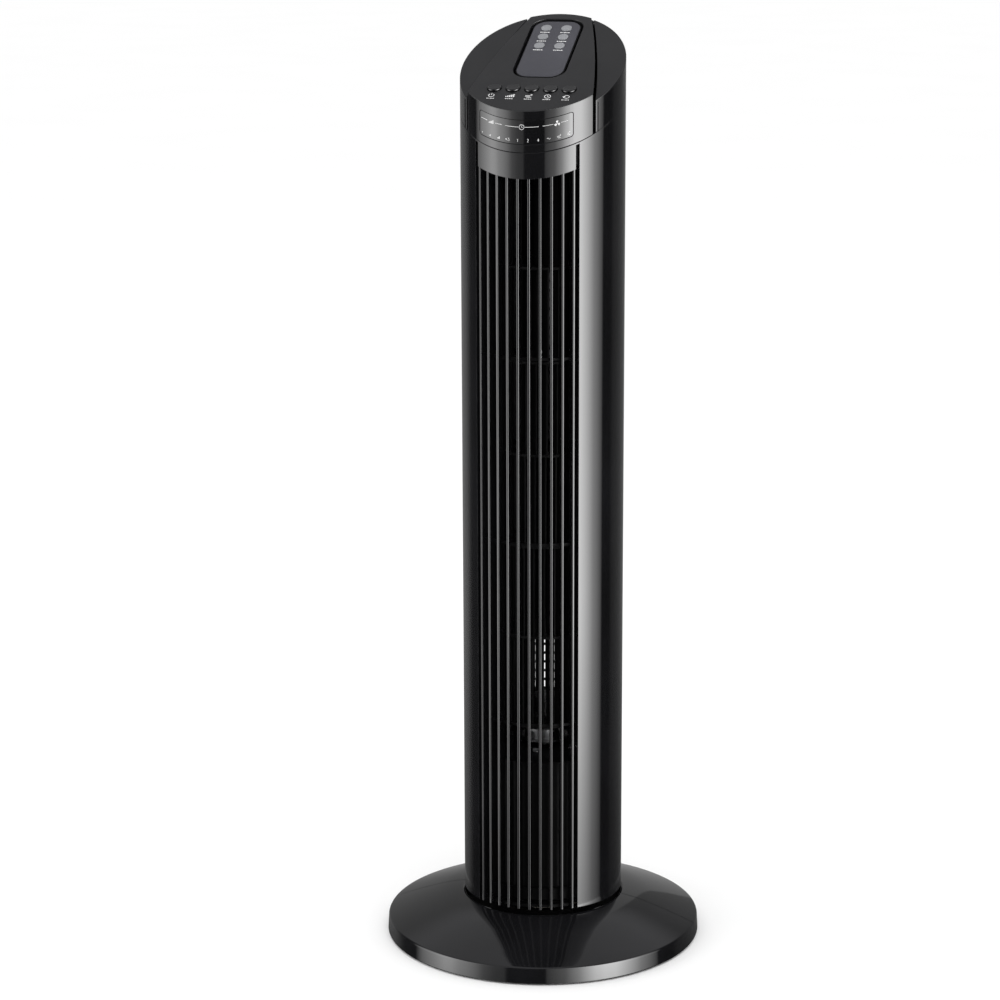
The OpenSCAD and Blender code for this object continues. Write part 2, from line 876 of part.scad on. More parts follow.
// Block with the remote dock's outline, reaching down from the panel's top
module dock_block(w, l, r, depth) {
    on_panel(remote_u + (dock_far - dock_clear) / 2, -depth) linear_extrude(depth + 3) rounded(w, l, r);
}

// Display window, grown outwards by grow and cut inwards to radius r_in
module display_cut(r_in, grow) {
    low = seam_height + 6.4 - grow;
    difference() {
        slice(650, 760) ring_sector(body_r + 3, r_in, -display_angle - grow, display_angle + grow);
        below(low, seam_tilt);
        above(low + display_h + 2 * grow, seam_tilt);
    }
}

// Raised panel with its front wall, the dock and the button wells
module control_panel() {
    inset = -groove_w / 2;
    color([0.06, 0.06, 0.07]) difference() {
        union() {
            difference() {
                slice(660, 800) panel_plan(inset);
                below(panel_height - slab_t, panel_tilt);
            }
            difference() {
                slice(660, 800) intersection() {
                    difference() {
                        panel_plan(inset);
                        circle(inner_r);
                    }
                    translate([-80, -80]) square([160, 60]);
                }
                below(seam_height + gap, seam_tilt);
            }
            difference() {
                slice(660, 800) difference() {
                    panel_plan(inset, inner_r + 1);
                    between_arcs(inset - 2);
                    translate([-100, -110]) square([200, 70]);
                }
                below(head_height - 2.8, head_tilt);
            }
            difference() {
                slice(660, 800) intersection() {
                    difference() {
                        panel_plan(inset);
                        circle(inner_r);
                    }
                    translate([-80, 20]) square([160, 60]);
                }
                below(head_height - 2.8, head_tilt);
            }
            intersection() {
                dock_block(remote_w + 2 * dock_clear + 3.2, remote_l + dock_clear + dock_far + 3.2,
                    remote_corner + dock_clear + 1.6, -dock_floor + 1.6);
                slice(650, 800) circle(inner_r - gap);
            }
            for (i = [-2:2]) on_panel(button_u, -6, i * button_pitch) cylinder(r = button_r + 1.5, h = 5);
            for (x = [-38.2, 38.2]) on_panel(button_u, board_n, x) cylinder(r = 2.6, h = -board_n - 1);
        }
        above(panel_height, panel_tilt);
        dock_block(remote_w + 2 * dock_clear, remote_l + dock_clear + dock_far,
            remote_corner + dock_clear, -dock_floor);
        for (i = [-2:2]) on_panel(button_u, -8, i * button_pitch) cylinder(r = button_r + 0.25, h = 12);
        display_cut(inner_r + 1, 0);
        display_cut(inner_r - 5, -1.6);
    }
}

// Smoked display window
module display_lens() {
    color([0.1, 0.1, 0.12, 0.7]) difference() {
        intersection() {
            display_cut(inner_r + 1.05, -0.15);
            slice(650, 760) circle(body_r - 0.15);
        }
        slice(650, 760) circle(inner_r + 1.05);
    }
}

// Circuit boards behind the buttons and behind the display
module control_board() {
    color([0.1, 0.35, 0.16]) {
        on_panel(button_u, board_n - 1.6) linear_extrude(1.6) difference() {
            square([82, 20], center = true);
            for (x = [-38.2, 38.2]) translate([x, 0]) circle(1.6);
        }
        translate([-27, -54.2, 694]) cube([54, 1.5, 15]);
    }
}

// Tact switches under the buttons
module push_switches() {
    color([0.15, 0.15, 0.15]) for (i = [-2:2]) on_panel(button_u, board_n, i * button_pitch) {
        translate([-3, -3, 0]) cube([6, 6, 3.4]);
        cylinder(r = 1.7, h = 3.9);
    }
}

// Lamps behind the display window
module indicator_leds() {
    color([0.9, 0.9, 0.85]) for (i = [0:9]) translate([-22.5 + 5 * i, -54.2, 701.5]) rotate([90, 0, 0])
        cylinder(r = 1.4, h = 3.4);
}

// Panel button: the cap's top is less steep than the panel, so its front stands proud
module panel_button(i) {
    cap_tilt = 10;
    color([0.07, 0.07, 0.08]) difference() {
        on_panel(button_u, 0, i * button_pitch) {
            translate([0, 0, -4.6]) cylinder(r = button_r, h = 8);
            translate([0, 0, -6]) cylinder(r = 2, h = 2);
        }
        on_panel(button_u + button_r, 0.15, i * button_pitch) rotate([-cap_tilt, 0, 0])
            translate([-20, -40, 0]) cube([40, 60, 20]);
    }
}

module button_power() {
    panel_button(-2);
}
module button_speed() {
    panel_button(-1);
}
module button_mode() {
    panel_button(0);
}
module button_timer() {
    panel_button(1);
}
module button_swing() {
    panel_button(2);
}

// ---------------------------------------------------------------- remote

// Outline of the remote
module remote_plan(inset = 0) {
    rounded(remote_w - 2 * inset, remote_l - 2 * inset, remote_corner - inset);
}

// Places children at the six keys
module key_places() {
    for (row = key_rows, x = [-key_x, key_x]) translate([x, remote_l / 2 - row]) children();
}

// Upper half of the remote's case, with the key holes
module remote_case_top() {
    color([0.25, 0.26, 0.28]) on_panel(remote_u, 0) difference() {
        union() {
            translate([0, 0, remote_split + 0.05]) linear_extrude(remote_t / 2 - 1.05) remote_plan();
            translate([0, 0, remote_top - 1.1]) linear_extrude(1.1) remote_plan(0.7);
        }
        translate([0, 0, remote_split - 1]) linear_extrude(3.6) remote_plan(1.5);
        translate([0, 0, -6]) linear_extrude(8) key_places() circle(key_r + 0.15);
    }
}

// Lower half of the remote's case, with the slot for the battery tray
module remote_case_bottom() {
    color([0.2, 0.2, 0.22]) on_panel(remote_u, 0) difference() {
        union() {
            translate([0, 0, remote_bottom + 1]) linear_extrude(remote_t / 2 - 1.05) remote_plan();
            translate([0, 0, remote_bottom]) linear_extrude(1.1) remote_plan(0.8);
        }
        translate([0, 0, remote_bottom + 1.4]) linear_extrude(5) remote_plan(1.5);
        translate([-13.2, -remote_l / 2 - 1, remote_bottom + 1.4]) cube([26.4, 10, 2.4]);
    }
}

// Circuit board of the remote
module remote_board() {
    color([0.1, 0.35, 0.16]) on_panel(remote_u, remote_split - 0.9)
        translate([-17, -10, 0]) cube([34, 44, 1]);
}

// Slide-out tray for the coin cell
module remote_battery_tray() {
    color([0.18, 0.18, 0.2]) on_panel(remote_u, remote_bottom + 1.5) difference() {
        translate([-13, -remote_l / 2 + 0.1, 0]) cube([26, 26, 2.2]);
        translate([0, -29, 0.5]) cylinder(r = 10.15, h = 5);
    }
}

// Coin cell
module coin_cell() {
    color("silver") on_panel(remote_u, remote_bottom + 2) translate([0, -29, 0]) {
        cylinder(r = 10, h = 2);
        cylinder(r = 8.6, h = 2.5);
    }
}

// Rubber key with a flange under the case
module remote_key(column, row) {
    color([0.5, 0.51, 0.53]) on_panel(remote_u + remote_l / 2 - key_rows[row], 0, column * key_x) {
        translate([0, 0, remote_top - 2.8]) cylinder(r = key_r, h = 3.3);
        translate([0, 0, remote_top - 2.8]) cylinder(r = key_r + 0.8, h = 0.9);
        translate([0, 0, remote_top + 0.4]) cylinder(r1 = key_r, r2 = key_r - 0.5, h = 0.4);
    }
}

module remote_key_power() {
    remote_key(-1, 0);
}
module remote_key_speed() {
    remote_key(1, 0);
}
module remote_key_timer() {
    remote_key(-1, 1);
}
module remote_key_mode() {
    remote_key(1, 1);
}
module remote_key_quiet() {
    remote_key(-1, 2);
}
module remote_key_swing() {
    remote_key(1, 2);
}

// ---------------------------------------------------------------- fasteners

// Screws that hold the two housings together
module housing_screws() {
    color("silver") for (s = [-1, 1], z = screw_levels) translate([s * screw_x, 0, z])
        rotate([-90, 0, 0]) {
            translate([0, 0, -9.5]) cylinder(r = 1.4, h = 20);
            translate([0, 0, 10.05]) difference() {
                cylinder(r = 2.9, h = 1.8);
                translate([-2, -0.4, 1.1]) cube([4, 0.8, 1]);
                translate([-0.4, -2, 1.1]) cube([0.8, 4, 1]);
            }
        }
}

// Slotted pan head screw, pointing down
module machine_screw(length) {
    translate([0, 0, -length]) cylinder(r = 1.4, h = length);
    difference() {
        cylinder(r = 2.8, h = 1.6);
        translate([-2, -0.4, 1]) cube([4, 0.8, 1]);
    }
}

// Screws of the swing motor, and long ones through the shelf's posts into the blower motor
module machine_screws() {
    color("silver") {
        for (x = [-29, 29]) translate([x, swing_motor_y, swing_motor_z + 1.05]) machine_screw(7);
        for (a = [0:90:359]) translate([31 * cos(a), blower_y + 31 * sin(a), shelf_z + 3.05])
            machine_screw(17);
    }
}

base_front();
base_rear();
neck_column();
base_nut();
fixed_gear();
bearing_balls();
bearing_cage();
swivel_retainer();
rubber_feet();
cord_gland();
bottom_pan();
front_housing();
outlet_grille();
rear_housing();
rear_grille();
duct_scroll();
duct_tongue();
motor_shelf();
motor_cover();
motor_stator();
motor_windings();
motor_upper_shield();
motor_lower_shield();
motor_bushes();
motor_capacitor();
swing_motor();
top_bracket();
top_bearing_rubber();
top_bearing_bush();
head_shell();
control_panel();
display_lens();
control_board();
push_switches();
indicator_leds();
power_board();
housing_screws();
machine_screws();
impeller_rotor();
impeller_hub();
impeller_axle();
motor_shaft();
motor_rotor();
swing_pinion();
button_power();
button_speed();
button_mode();
button_timer();
button_swing();
remote_case_top();
remote_case_bottom();
remote_board();
remote_battery_tray();
coin_cell();
remote_key_power();
remote_key_speed();
remote_key_timer();
remote_key_mode();
remote_key_quiet();
remote_key_swing();
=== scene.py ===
"""Tower fan: detailed shells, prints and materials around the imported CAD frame.

Sizes are in millimetres (MM turns them into metres), in the CAD frame: +Z up, front towards -Y.
"""
import json
import math

import bmesh
import bpy
from mathutils import Matrix, Vector
from mathutils.geometry import tessellate_polygon


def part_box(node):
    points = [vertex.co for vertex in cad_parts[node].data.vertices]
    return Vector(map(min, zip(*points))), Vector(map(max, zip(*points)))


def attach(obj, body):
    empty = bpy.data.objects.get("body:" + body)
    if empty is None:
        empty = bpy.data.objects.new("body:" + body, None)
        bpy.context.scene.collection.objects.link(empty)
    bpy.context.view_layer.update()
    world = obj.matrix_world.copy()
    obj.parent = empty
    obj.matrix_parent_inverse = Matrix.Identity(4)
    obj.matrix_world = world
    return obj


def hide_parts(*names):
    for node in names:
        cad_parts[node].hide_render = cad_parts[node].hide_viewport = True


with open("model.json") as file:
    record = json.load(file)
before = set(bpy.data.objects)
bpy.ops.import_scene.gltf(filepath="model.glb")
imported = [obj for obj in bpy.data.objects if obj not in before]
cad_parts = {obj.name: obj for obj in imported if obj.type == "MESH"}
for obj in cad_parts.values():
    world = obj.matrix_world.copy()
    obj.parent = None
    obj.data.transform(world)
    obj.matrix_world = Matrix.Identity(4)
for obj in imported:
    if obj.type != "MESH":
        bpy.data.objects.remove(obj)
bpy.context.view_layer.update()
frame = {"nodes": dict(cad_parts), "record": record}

MM = 0.001

# ---------------------------------------------------------------- sizes taken from the frame


def node_mm(node):
    """Lowest and highest corner of a CAD node, in millimetres."""
    low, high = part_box(node)
    return low / MM, high / MM


BASE_R = node_mm("base_front")[1].x
BASE_TOP = node_mm("base_front")[1].z
BODY_R = node_mm("front_housing")[1].x
TOWER_BOTTOM = node_mm("front_housing")[0].z
INLET_LOW = node_mm("rear_grille")[0].z - 0.3
INLET_HIGH = 662.0

# ---------------------------------------------------------------- driving sizes shared with the CAD

WALL = 2.5
SEAM = (716.7, math.tan(math.radians(29.4)))
HEAD = (741.7, math.tan(math.radians(28.65)))
PANEL_TILT = math.radians(26.5)
PANEL = (745.6, math.tan(PANEL_TILT))
PANEL_T = 3.0           # vertical thickness of the panel
REVEAL = 0.3            # half of the seam between the housings and the head
GROOVE_HALF = 0.85      # half width of the grooves beside the panel
GROOVE_R = 683.0        # radius of the long arcs that the grooves follow in plan
GROOVE_X = 622.0
GROOVE_Y = -151.1
WINDOW_ANGLE = 39.5
SLATS = 10
SLAT_PITCH = 7.92
SLAT_T = 2.2
SLAT_DEPTH = 9.0
BAND_H = 21.3
STAY_LEVELS = (200, 355, 510)
DISPLAY_ANGLE = 35.0
DISPLAY_LOW = 6.4       # lower edge of the display window above the seam
DISPLAY_H = 19.5
DISPLAY_CORNER = 2.5
INLET_ANGLE = 50.0
INLET_PITCH = 8.0
BUTTON_R = 5.85
BUTTON_PITCH = 15.4
BUTTON_U = -42.0
WELL_DEPTH = 6.4        # of the hole that a panel button moves in
REMOTE_U = 21.0
REMOTE_W, REMOTE_L, REMOTE_T = 41.0, 88.5, 8.0
REMOTE_CORNER = 11.9
REMOTE_TOP = -0.3
DOCK_CLEAR = 1.7
DOCK_FAR = 1.5
DOCK_FLOOR = REMOTE_TOP - REMOTE_T - 0.3
KEY_R = 4.45
KEY_X = 8.45
KEY_ROWS = (13.0, 26.9, 40.8)
SCREW_X = 61.3
SCREW_LEVELS = (72, 192, 312, 432, 552, 678)
GRIP = (40.0, 694.0, 720.0, 46.0)   # half width, low, high and depth (y) of the hand grip


def plane_z(plane, y):
    """Height of a slanted plane at depth y."""
    return plane[0] + plane[1] * y


def at(angle, radius):
    """Plan point at an angle from the front (towards +X), in degrees."""
    a = math.radians(angle)
    return (radius * math.sin(a), -radius * math.cos(a))


def on_panel(x, u, n):
    """Point in the control panel's frame: across, up the slope, out of the panel."""
    c, s = math.cos(PANEL_TILT), math.sin(PANEL_TILT)
    return (x, u * c - n * s, PANEL[0] + u * s + n * c)


def spread(low, high, count):
    """Evenly spaced values, both ends included."""
    return [low + (high - low) * i / (count - 1) for i in range(count)]


def quarter(radius, count=5):
    """Inset and drop of a rounded edge, from the flat face to the side."""
    return [
        (radius * (1 - math.sin(a)), radius * (1 - math.cos(a)))
        for a in spread(0, math.pi / 2, count)
    ]


# ---------------------------------------------------------------- mesh tools


class Shape:
    """Collects points, faces and their material numbers."""

    def __init__(self):
        self.points = []
        self.faces = []
        self.marks = []

    def loop(self, points):
        start = len(self.points)
        self.points.extend(tuple(p) for p in points)
        return list(range(start, len(self.points)))

    def face(self, corners, mark=0):
        self.faces.append(tuple(corners))
        self.marks.append(mark)

    def bridge(self, a, b, closed=True, mark=0):
        """Quads between two loops with the same number of points."""
        count = len(a) if closed else len(a) - 1
        for i in range(count):
            j = (i + 1) % len(a)
            self.face((a[i], a[j], b[j], b[i]), mark)

    def skin(self, loops, closed=True, mark=0):
        for a, b in zip(loops, loops[1:]):
            self.bridge(a, b, closed, mark)

    def cap(self, outer, holes=(), mark=0, flip=False):
        """Fills a loop, leaving its holes open."""
        rings = [outer, *holes]
        flat = [i for ring in rings for i in ring]
        coords = [[Vector(self.points[i]) for i in ring] for ring in rings]
        for tri in tessellate_polygon(coords):
            corners = [flat[i] for i in tri]
            self.face(reversed(corners) if flip else corners, mark)

    def grid(self, rows, mark=0, keep=None):
        """Quads over rows of point numbers; keep(row, column) says which stay."""
        for r in range(len(rows) - 1):
            for c in range(len(rows[r]) - 1):
                if keep is None or keep(r, c):
                    self.face((rows[r][c], rows[r][c + 1], rows[r + 1][c + 1], rows[r + 1][c]), mark)


def plain_object(name, shape, materials=()):
    """Object made of a Shape's faces, which rides on nothing yet."""
    mesh = bpy.data.meshes.new(name)
    mesh.from_pydata([Vector(p) * MM for p in shape.points], [], shape.faces)
    for material in materials:
        mesh.materials.append(material)
    obj = bpy.data.objects.new(name, mesh)
    bpy.context.scene.collection.objects.link(obj)
    return obj


def make(name, shape, materials, body, replaces=(), sharp=38, weld=1e-3, flat=True):
    """Turns a Shape into an object that rides on a CAD body; flat keeps its large faces flat."""
    obj = plain_object(name, shape, materials)
    mesh = obj.data
    for polygon, mark in zip(mesh.polygons, shape.marks):
        polygon.material_index = mark
    tidy_mesh(obj, weld * MM)
    mesh.shade_smooth()
    mesh.set_sharp_from_angle(angle=math.radians(sharp))
    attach(obj, body)
    if replaces:
        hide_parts(*replaces)
    if flat:
        weighted(obj)
    return obj


def tidy_mesh(obj, weld):
    """Welds doubled points, drops empty faces and makes the normals agree."""
    work = bmesh.new()
    work.from_mesh(obj.data)
    bmesh.ops.remove_doubles(work, verts=work.verts, dist=weld)
    bmesh.ops.dissolve_degenerate(work, edges=work.edges, dist=weld / 2)
    bmesh.ops.recalc_face_normals(work, faces=work.faces)
    work.to_mesh(obj.data)
    work.free()


def modifier(obj, kind, name, **settings):
    mod = obj.modifiers.new(name, kind)
    for key, value in settings.items():
        setattr(mod, key, value)
    return mod


def bake_modifiers(obj):
    """Applies the modifiers, so the piece keeps plain mesh data."""
    graph = bpy.context.evaluated_depsgraph_get()
    mesh = bpy.data.meshes.new_from_object(obj.evaluated_get(graph))
    obj.modifiers.clear()
    obj.data = mesh


def shell(obj, thickness):
    """Gives a skin its wall thickness, inwards."""
    modifier(obj, "SOLIDIFY", "wall", thickness=thickness * MM, offset=-1, use_even_offset=True, use_rim=True)
    bake_modifiers(obj)


def soften(obj, width, angle=50):
    """Rounds the edges sharper than an angle and keeps large faces flat in shading."""
    modifier(obj, "BEVEL", "edges", width=width * MM, segments=2, limit_method="ANGLE",
             angle_limit=math.radians(angle), harden_normals=False, use_clamp_overlap=True)
    bake_modifiers(obj)
    obj.data.shade_smooth()
    obj.data.set_sharp_from_angle(angle=math.radians(50))
    weighted(obj)


def weighted(obj):
    """Lets large flat faces set the normals of the small faces beside them."""
    modifier(obj, "WEIGHTED_NORMAL", "flat_faces", mode="FACE_AREA", weight=90, keep_sharp=True)


def inset_loop(points, amount):
    """Moves a closed plan outline inwards by amount (counter-clockwise outline)."""
    if abs(amount) < 1e-9:
        return list(points)
    count = len(points)
    result = []
    for i in range(count):
        before, here, after = points[i - 1], points[i], points[(i + 1) % count]
        d0 = Vector((here[0] - before[0], here[1] - before[1])).normalized()
        d1 = Vector((after[0] - here[0], after[1] - here[1])).normalized()
        n0, n1 = Vector((-d0.y, d0.x)), Vector((-d1.y, d1.x))
        mid = n0 + n1
        scale = amount / max(0.35, mid.length_squared / 2) if mid.length > 1e-6 else 0
        result.append((here[0] + mid.x * scale, here[1] + mid.y * scale))
    return result


def arc(radius, a0, a1, step=2.0):
    """Plan points along an arc; angles from the front, towards +X."""
    return [at(a, radius) for a in spread(a0, a1, max(2, int(abs(a1 - a0) / step) + 1))]


def rounded_rect(width, length, radius, steps=7):
    """Counter-clockwise outline of a rectangle with round corners."""
    points = []
    for sx, sy, start in ((1, -1, -90), (1, 1, 0), (-1, 1, 90), (-1, -1, 180)):
        cx, cy = sx * (width / 2 - radius), sy * (length / 2 - radius)
        for i in range(steps + 1):
            a = math.radians(start + 90 * i / steps)
            points.append((cx + radius * math.cos(a), cy + radius * math.sin(a)))
    return points


def circle(radius, count):
    turns = [2 * math.pi * i / count for i in range(count)]
    return [(radius * math.cos(a), radius * math.sin(a)) for a in turns]


def prism(shape, outline, low, high, r_low=0.0, r_high=0.0, mark=0):
    """Upright prism over a plan outline. low and high are heights, or give one at (x, y)."""
    low_at = low if callable(low) else lambda x, y: low
    high_at = high if callable(high) else lambda x, y: high
    levels = []
    for inset, drop in quarter(r_low, 4) if r_low else [(0, 0)]:
        levels.append([(x, y, low_at(x, y) + drop) for x, y in inset_loop(outline, inset)])
    top = []
    for inset, drop in quarter(r_high, 4) if r_high else [(0, 0)]:
        top.append([(x, y, high_at(x, y) - drop) for x, y in inset_loop(outline, inset)])
    loops = [shape.loop(points) for points in levels + top[::-1]]
    shape.skin(loops, mark=mark)
    shape.cap(loops[0], mark=mark, flip=True)
    shape.cap(loops[-1], mark=mark)


def revolve(shape, profile, a0, a1, count, shift=(0, 0), mark=0):
    """Sweeps a closed (radius, z) profile round the axis and closes the two ends."""
    loops = []
    for a in spread(a0, a1, count):
        x, y = at(a, 1)
        loops.append(shape.loop([(r * x + shift[0], r * y + shift[1], z) for r, z in profile]))
    shape.skin(loops, mark=mark)
    shape.cap(loops[0], mark=mark)
    shape.cap(loops[-1], mark=mark, flip=True)


def round_corners(points, radii, steps=5):
    """Replaces the corners of a closed outline with arcs of the given radii."""
    result = []
    count = len(points)
    for i, radius in enumerate(radii):
        here = Vector(points[i])
        if radius <= 0:
            result.append(tuple(here))
            continue
        to_a = (Vector(points[i - 1]) - here).normalized()
        to_b = (Vector(points[(i + 1) % count]) - here).normalized()
        half = to_a.angle(to_b) / 2
        reach = radius / math.tan(half)
        start, end = here + to_a * reach, here + to_b * reach
        centre = here + (to_a + to_b).normalized() * (radius / math.sin(half))
        v0, v1 = start - centre, end - centre
        turn = v0.angle_signed(v1)
        for k in range(steps + 1):
            result.append(tuple(centre + Matrix.Rotation(-turn * k / steps, 2) @ v0))
    return result


def cylinder_cutter(name, radius, start, end, count=48):
    """Closed cylinder between two points, which cuts a hole and is then removed."""
    axis = (Vector(end) - Vector(start)).normalized()
    side = axis.orthogonal().normalized()
    up = axis.cross(side)
    shape = Shape()
    rings = []
    for centre in (Vector(start), Vector(end)):
        rings.append(shape.loop([centre + side * x + up * y for x, y in circle(radius, count)]))
    shape.skin(rings)
    shape.cap(rings[0], flip=True)
    shape.cap(rings[1])
    cutter = plain_object(name, shape)
    tidy_mesh(cutter, 1e-6)
    return cutter


def cut(obj, cutters):
    """Subtracts the cutters from a piece and removes them."""
    for cutter in cutters:
        modifier(obj, "BOOLEAN", "hole", operation="DIFFERENCE", solver="EXACT", object=cutter)
    bake_modifiers(obj)
    for cutter in cutters:
        bpy.data.objects.remove(cutter)


# ---------------------------------------------------------------- materials


class Finish:
    """A small node-tree writer round one Principled shader."""

    def __init__(self, name):
        self.material = bpy.data.materials.new(name)
        self.material.use_nodes = True
        self.tree = self.material.node_tree
        self.shader = self.tree.nodes["Principled BSDF"]
        self.place = self.tree.nodes.new("ShaderNodeTexCoord")

    def node(self, kind, **settings):
        made = self.tree.nodes.new(kind)
        for key, value in settings.items():
            if key in made.inputs:
                made.inputs[key].default_value = value
            else:
                setattr(made, key, value)
        return made

    def link(self, out, into):
        self.tree.links.new(out, into)

    def scaled(self, stretch):
        mapping = self.node("ShaderNodeMapping", Scale=stretch)
        self.link(self.place.outputs["Object"], mapping.inputs["Vector"])
        return mapping.outputs["Vector"]

    def noise(self, scale, detail=3.0, stretch=(1, 1, 1)):
        made = self.node("ShaderNodeTexNoise", Scale=scale, Detail=detail)
        self.link(self.scaled(stretch), made.inputs["Vector"])
        return made.outputs["Fac"]

    def ranged(self, value, low, high, start=0.3, end=0.7):
        limits = {"From Min": start, "From Max": end, "To Min": low, "To Max": high}
        made = self.node("ShaderNodeMapRange", **limits)
        self.link(value, made.inputs["Value"])
        return made.outputs["Result"]

    def mix(self, factor, dark, light):
        made = self.node("ShaderNodeMix", data_type="RGBA")
        self.link(factor, made.inputs["Factor"])
        for socket, colour in ((made.inputs["A"], dark), (made.inputs["B"], light)):
            if hasattr(colour, "links"):
                self.link(colour, socket)
            else:
                socket.default_value = (*colour, 1)
        return made.outputs["Result"]

    def edge_mask(self, radius):
        """1 along rounded edges, 0 on flat faces."""
        bevel = self.node("ShaderNodeBevel", Radius=radius * MM)
        bevel.samples = 4
        plain = self.node("ShaderNodeNewGeometry")
        dot = self.node("ShaderNodeVectorMath", operation="DOT_PRODUCT")
        self.link(bevel.outputs["Normal"], dot.inputs[0])
        self.link(plain.outputs["Normal"], dot.inputs[1])
        return self.ranged(dot.outputs["Value"], 1, 0, 0.9, 0.995)

    def colour(self, socket):
        self.link(socket, self.shader.inputs["Base Color"])

    def roughness(self, socket):
        self.link(socket, self.shader.inputs["Roughness"])

    def bump(self, height, strength, depth):
        made = self.node("ShaderNodeBump", Strength=strength, Distance=depth * MM)
        self.link(height, made.inputs["Height"])
        self.link(made.outputs["Normal"], self.shader.inputs["Normal"])

    def set(self, **values):
        for key, value in values.items():
            self.shader.inputs[key.replace("_", " ")].default_value = value
        return self


def moulding(name, dark, light, rough, grain=1800.0, depth=0.02, strength=0.25, specular=0.5, coat=0.0,
             wear=None):
    """Moulded plastic: cloudy colour, uneven gloss, fine grain and lighter rubbed edges."""
    made = Finish(name)
    colour = made.mix(made.ranged(made.noise(14.0, 4.0), 0, 1), dark, light)
    if wear:
        rubbed = made.node("ShaderNodeMath", operation="MULTIPLY")
        made.link(made.edge_mask(0.5), rubbed.inputs[0])
        made.link(made.ranged(made.noise(90.0, 5.0), 0.1, 0.9), rubbed.inputs[1])
        colour = made.mix(rubbed.outputs["Value"], colour, wear)
    made.colour(colour)
    made.roughness(made.ranged(made.noise(55.0, 6.0), *rough))
    made.bump(made.noise(grain, 2.0), strength, depth)
    made.set(Specular_IOR_Level=specular, Coat_Weight=coat, Coat_Roughness=0.04)
    return made.material


def metal(name, dark, light, rough, stretch=(1, 1, 12)):
    """Bare metal with drawn or turned marks."""
    made = Finish(name)
    marks = made.noise(900.0, 3.0, stretch)
    made.colour(made.mix(made.ranged(marks, 0, 1), dark, light))
    made.roughness(made.ranged(made.noise(140.0, 4.0, stretch), *rough))
    made.bump(marks, 0.2, 0.02)
    made.set(Metallic=1.0)
    return made.material


def winding_wire(name):
    """Enamelled copper wire laid in close turns."""
    made = Finish(name)
    wave = made.node("ShaderNodeTexWave", bands_direction="Z", Scale=420.0, Distortion=1.5)
    wave.inputs["Detail"].default_value = 2.0
    made.link(made.scaled((1, 1, 1)), wave.inputs["Vector"])
    made.colour(made.mix(wave.outputs["Fac"], (0.16, 0.05, 0.02), (0.62, 0.25, 0.10)))
    made.roughness(made.ranged(made.noise(300.0), 0.25, 0.45))
    made.bump(wave.outputs["Fac"], 0.7, 0.3)
    made.set(Metallic=0.6)
    return made.material


def solder_mask(name):
    """Circuit board with faint tracks under green lacquer."""
    made = Finish(name)
    tracks = made.node("ShaderNodeTexBrick", Scale=120.0)
    tracks.inputs["Mortar Size"].default_value = 0.03
    made.link(made.scaled((1, 1, 1)), tracks.inputs["Vector"])
    made.colour(made.mix(tracks.outputs["Fac"], (0.015, 0.11, 0.035), (0.04, 0.24, 0.08)))
    made.roughness(made.ranged(made.noise(200.0), 0.25, 0.4))
    made.bump(tracks.outputs["Fac"], 0.3, 0.05)
    return made.material


GLOSS = moulding("gloss_black", (0.0045, 0.0045, 0.005), (0.0075, 0.0075, 0.0085), (0.05, 0.085), grain=260.0,
                 depth=0.012, strength=0.05, coat=0.35, wear=(0.03, 0.03, 0.032))
GRILLE = moulding("grille_black", (0.006, 0.006, 0.0065), (0.010, 0.010, 0.011), (0.16, 0.24), grain=900.0,
                  depth=0.015, strength=0.12, wear=(0.05, 0.05, 0.053))
SATIN = moulding("satin_black", (0.008, 0.008, 0.009), (0.012, 0.012, 0.0132), (0.34, 0.42), grain=2600.0,
                 depth=0.03, strength=0.3, wear=(0.06, 0.06, 0.065))
# Dark inner plastic. The same finish is also laid on the base's well, the grille's hoop and stays, and the
# remote's sides as painted shade.
DARK = moulding("inner_black_and_painted_shade", (0.002, 0.002, 0.0022), (0.005, 0.005, 0.0053), (0.5, 0.65), grain=1500.0,
                depth=0.03, strength=0.3, specular=0.1)
BLADES = moulding("impeller_black", (0.002, 0.002, 0.0022), (0.004, 0.004, 0.0043), (0.42, 0.56),
                  grain=1400.0, specular=0.12)
NYLON = moulding("natural_nylon", (0.62, 0.58, 0.47), (0.74, 0.70, 0.60), (0.32, 0.45), grain=1200.0)
RUBBER = moulding("black_rubber", (0.010, 0.010, 0.010), (0.022, 0.022, 0.021), (0.65, 0.85), grain=2200.0,
                  depth=0.06, strength=0.4)
CASE = moulding("remote_case", (0.040, 0.040, 0.049), (0.056, 0.056, 0.068), (0.38, 0.5), grain=3000.0,
                depth=0.05, strength=0.45, wear=(0.12, 0.12, 0.13))
KEY = moulding("remote_key", (0.20, 0.205, 0.215), (0.26, 0.265, 0.28), (0.45, 0.6), grain=2400.0, depth=0.04,
               strength=0.35)
LENS = moulding("display_window", (0.003, 0.003, 0.0035), (0.006, 0.006, 0.0068), (0.025, 0.05), grain=200.0,
                depth=0.006, strength=0.04, coat=0.6)
INK = moulding("white_ink", (0.72, 0.72, 0.72), (0.86, 0.86, 0.86), (0.4, 0.55), grain=2600.0, depth=0.01)
LAMP = moulding("led_body", (0.55, 0.55, 0.5), (0.7, 0.7, 0.66), (0.2, 0.35))
CAPACITOR = moulding("capacitor_case", (0.42, 0.42, 0.38), (0.52, 0.52, 0.48), (0.4, 0.55))
STEEL = metal("plain_steel", (0.34, 0.34, 0.35), (0.52, 0.52, 0.53), (0.25, 0.42))
CAST = metal("cast_metal", (0.17, 0.17, 0.175), (0.30, 0.30, 0.305), (0.24, 0.4), stretch=(1, 1, 1))
BRONZE = metal("sintered_bronze", (0.34, 0.22, 0.10), (0.5, 0.34, 0.17), (0.4, 0.55), stretch=(1, 1, 1))
COPPER = winding_wire("winding_wire")
BOARD = solder_mask("solder_mask")

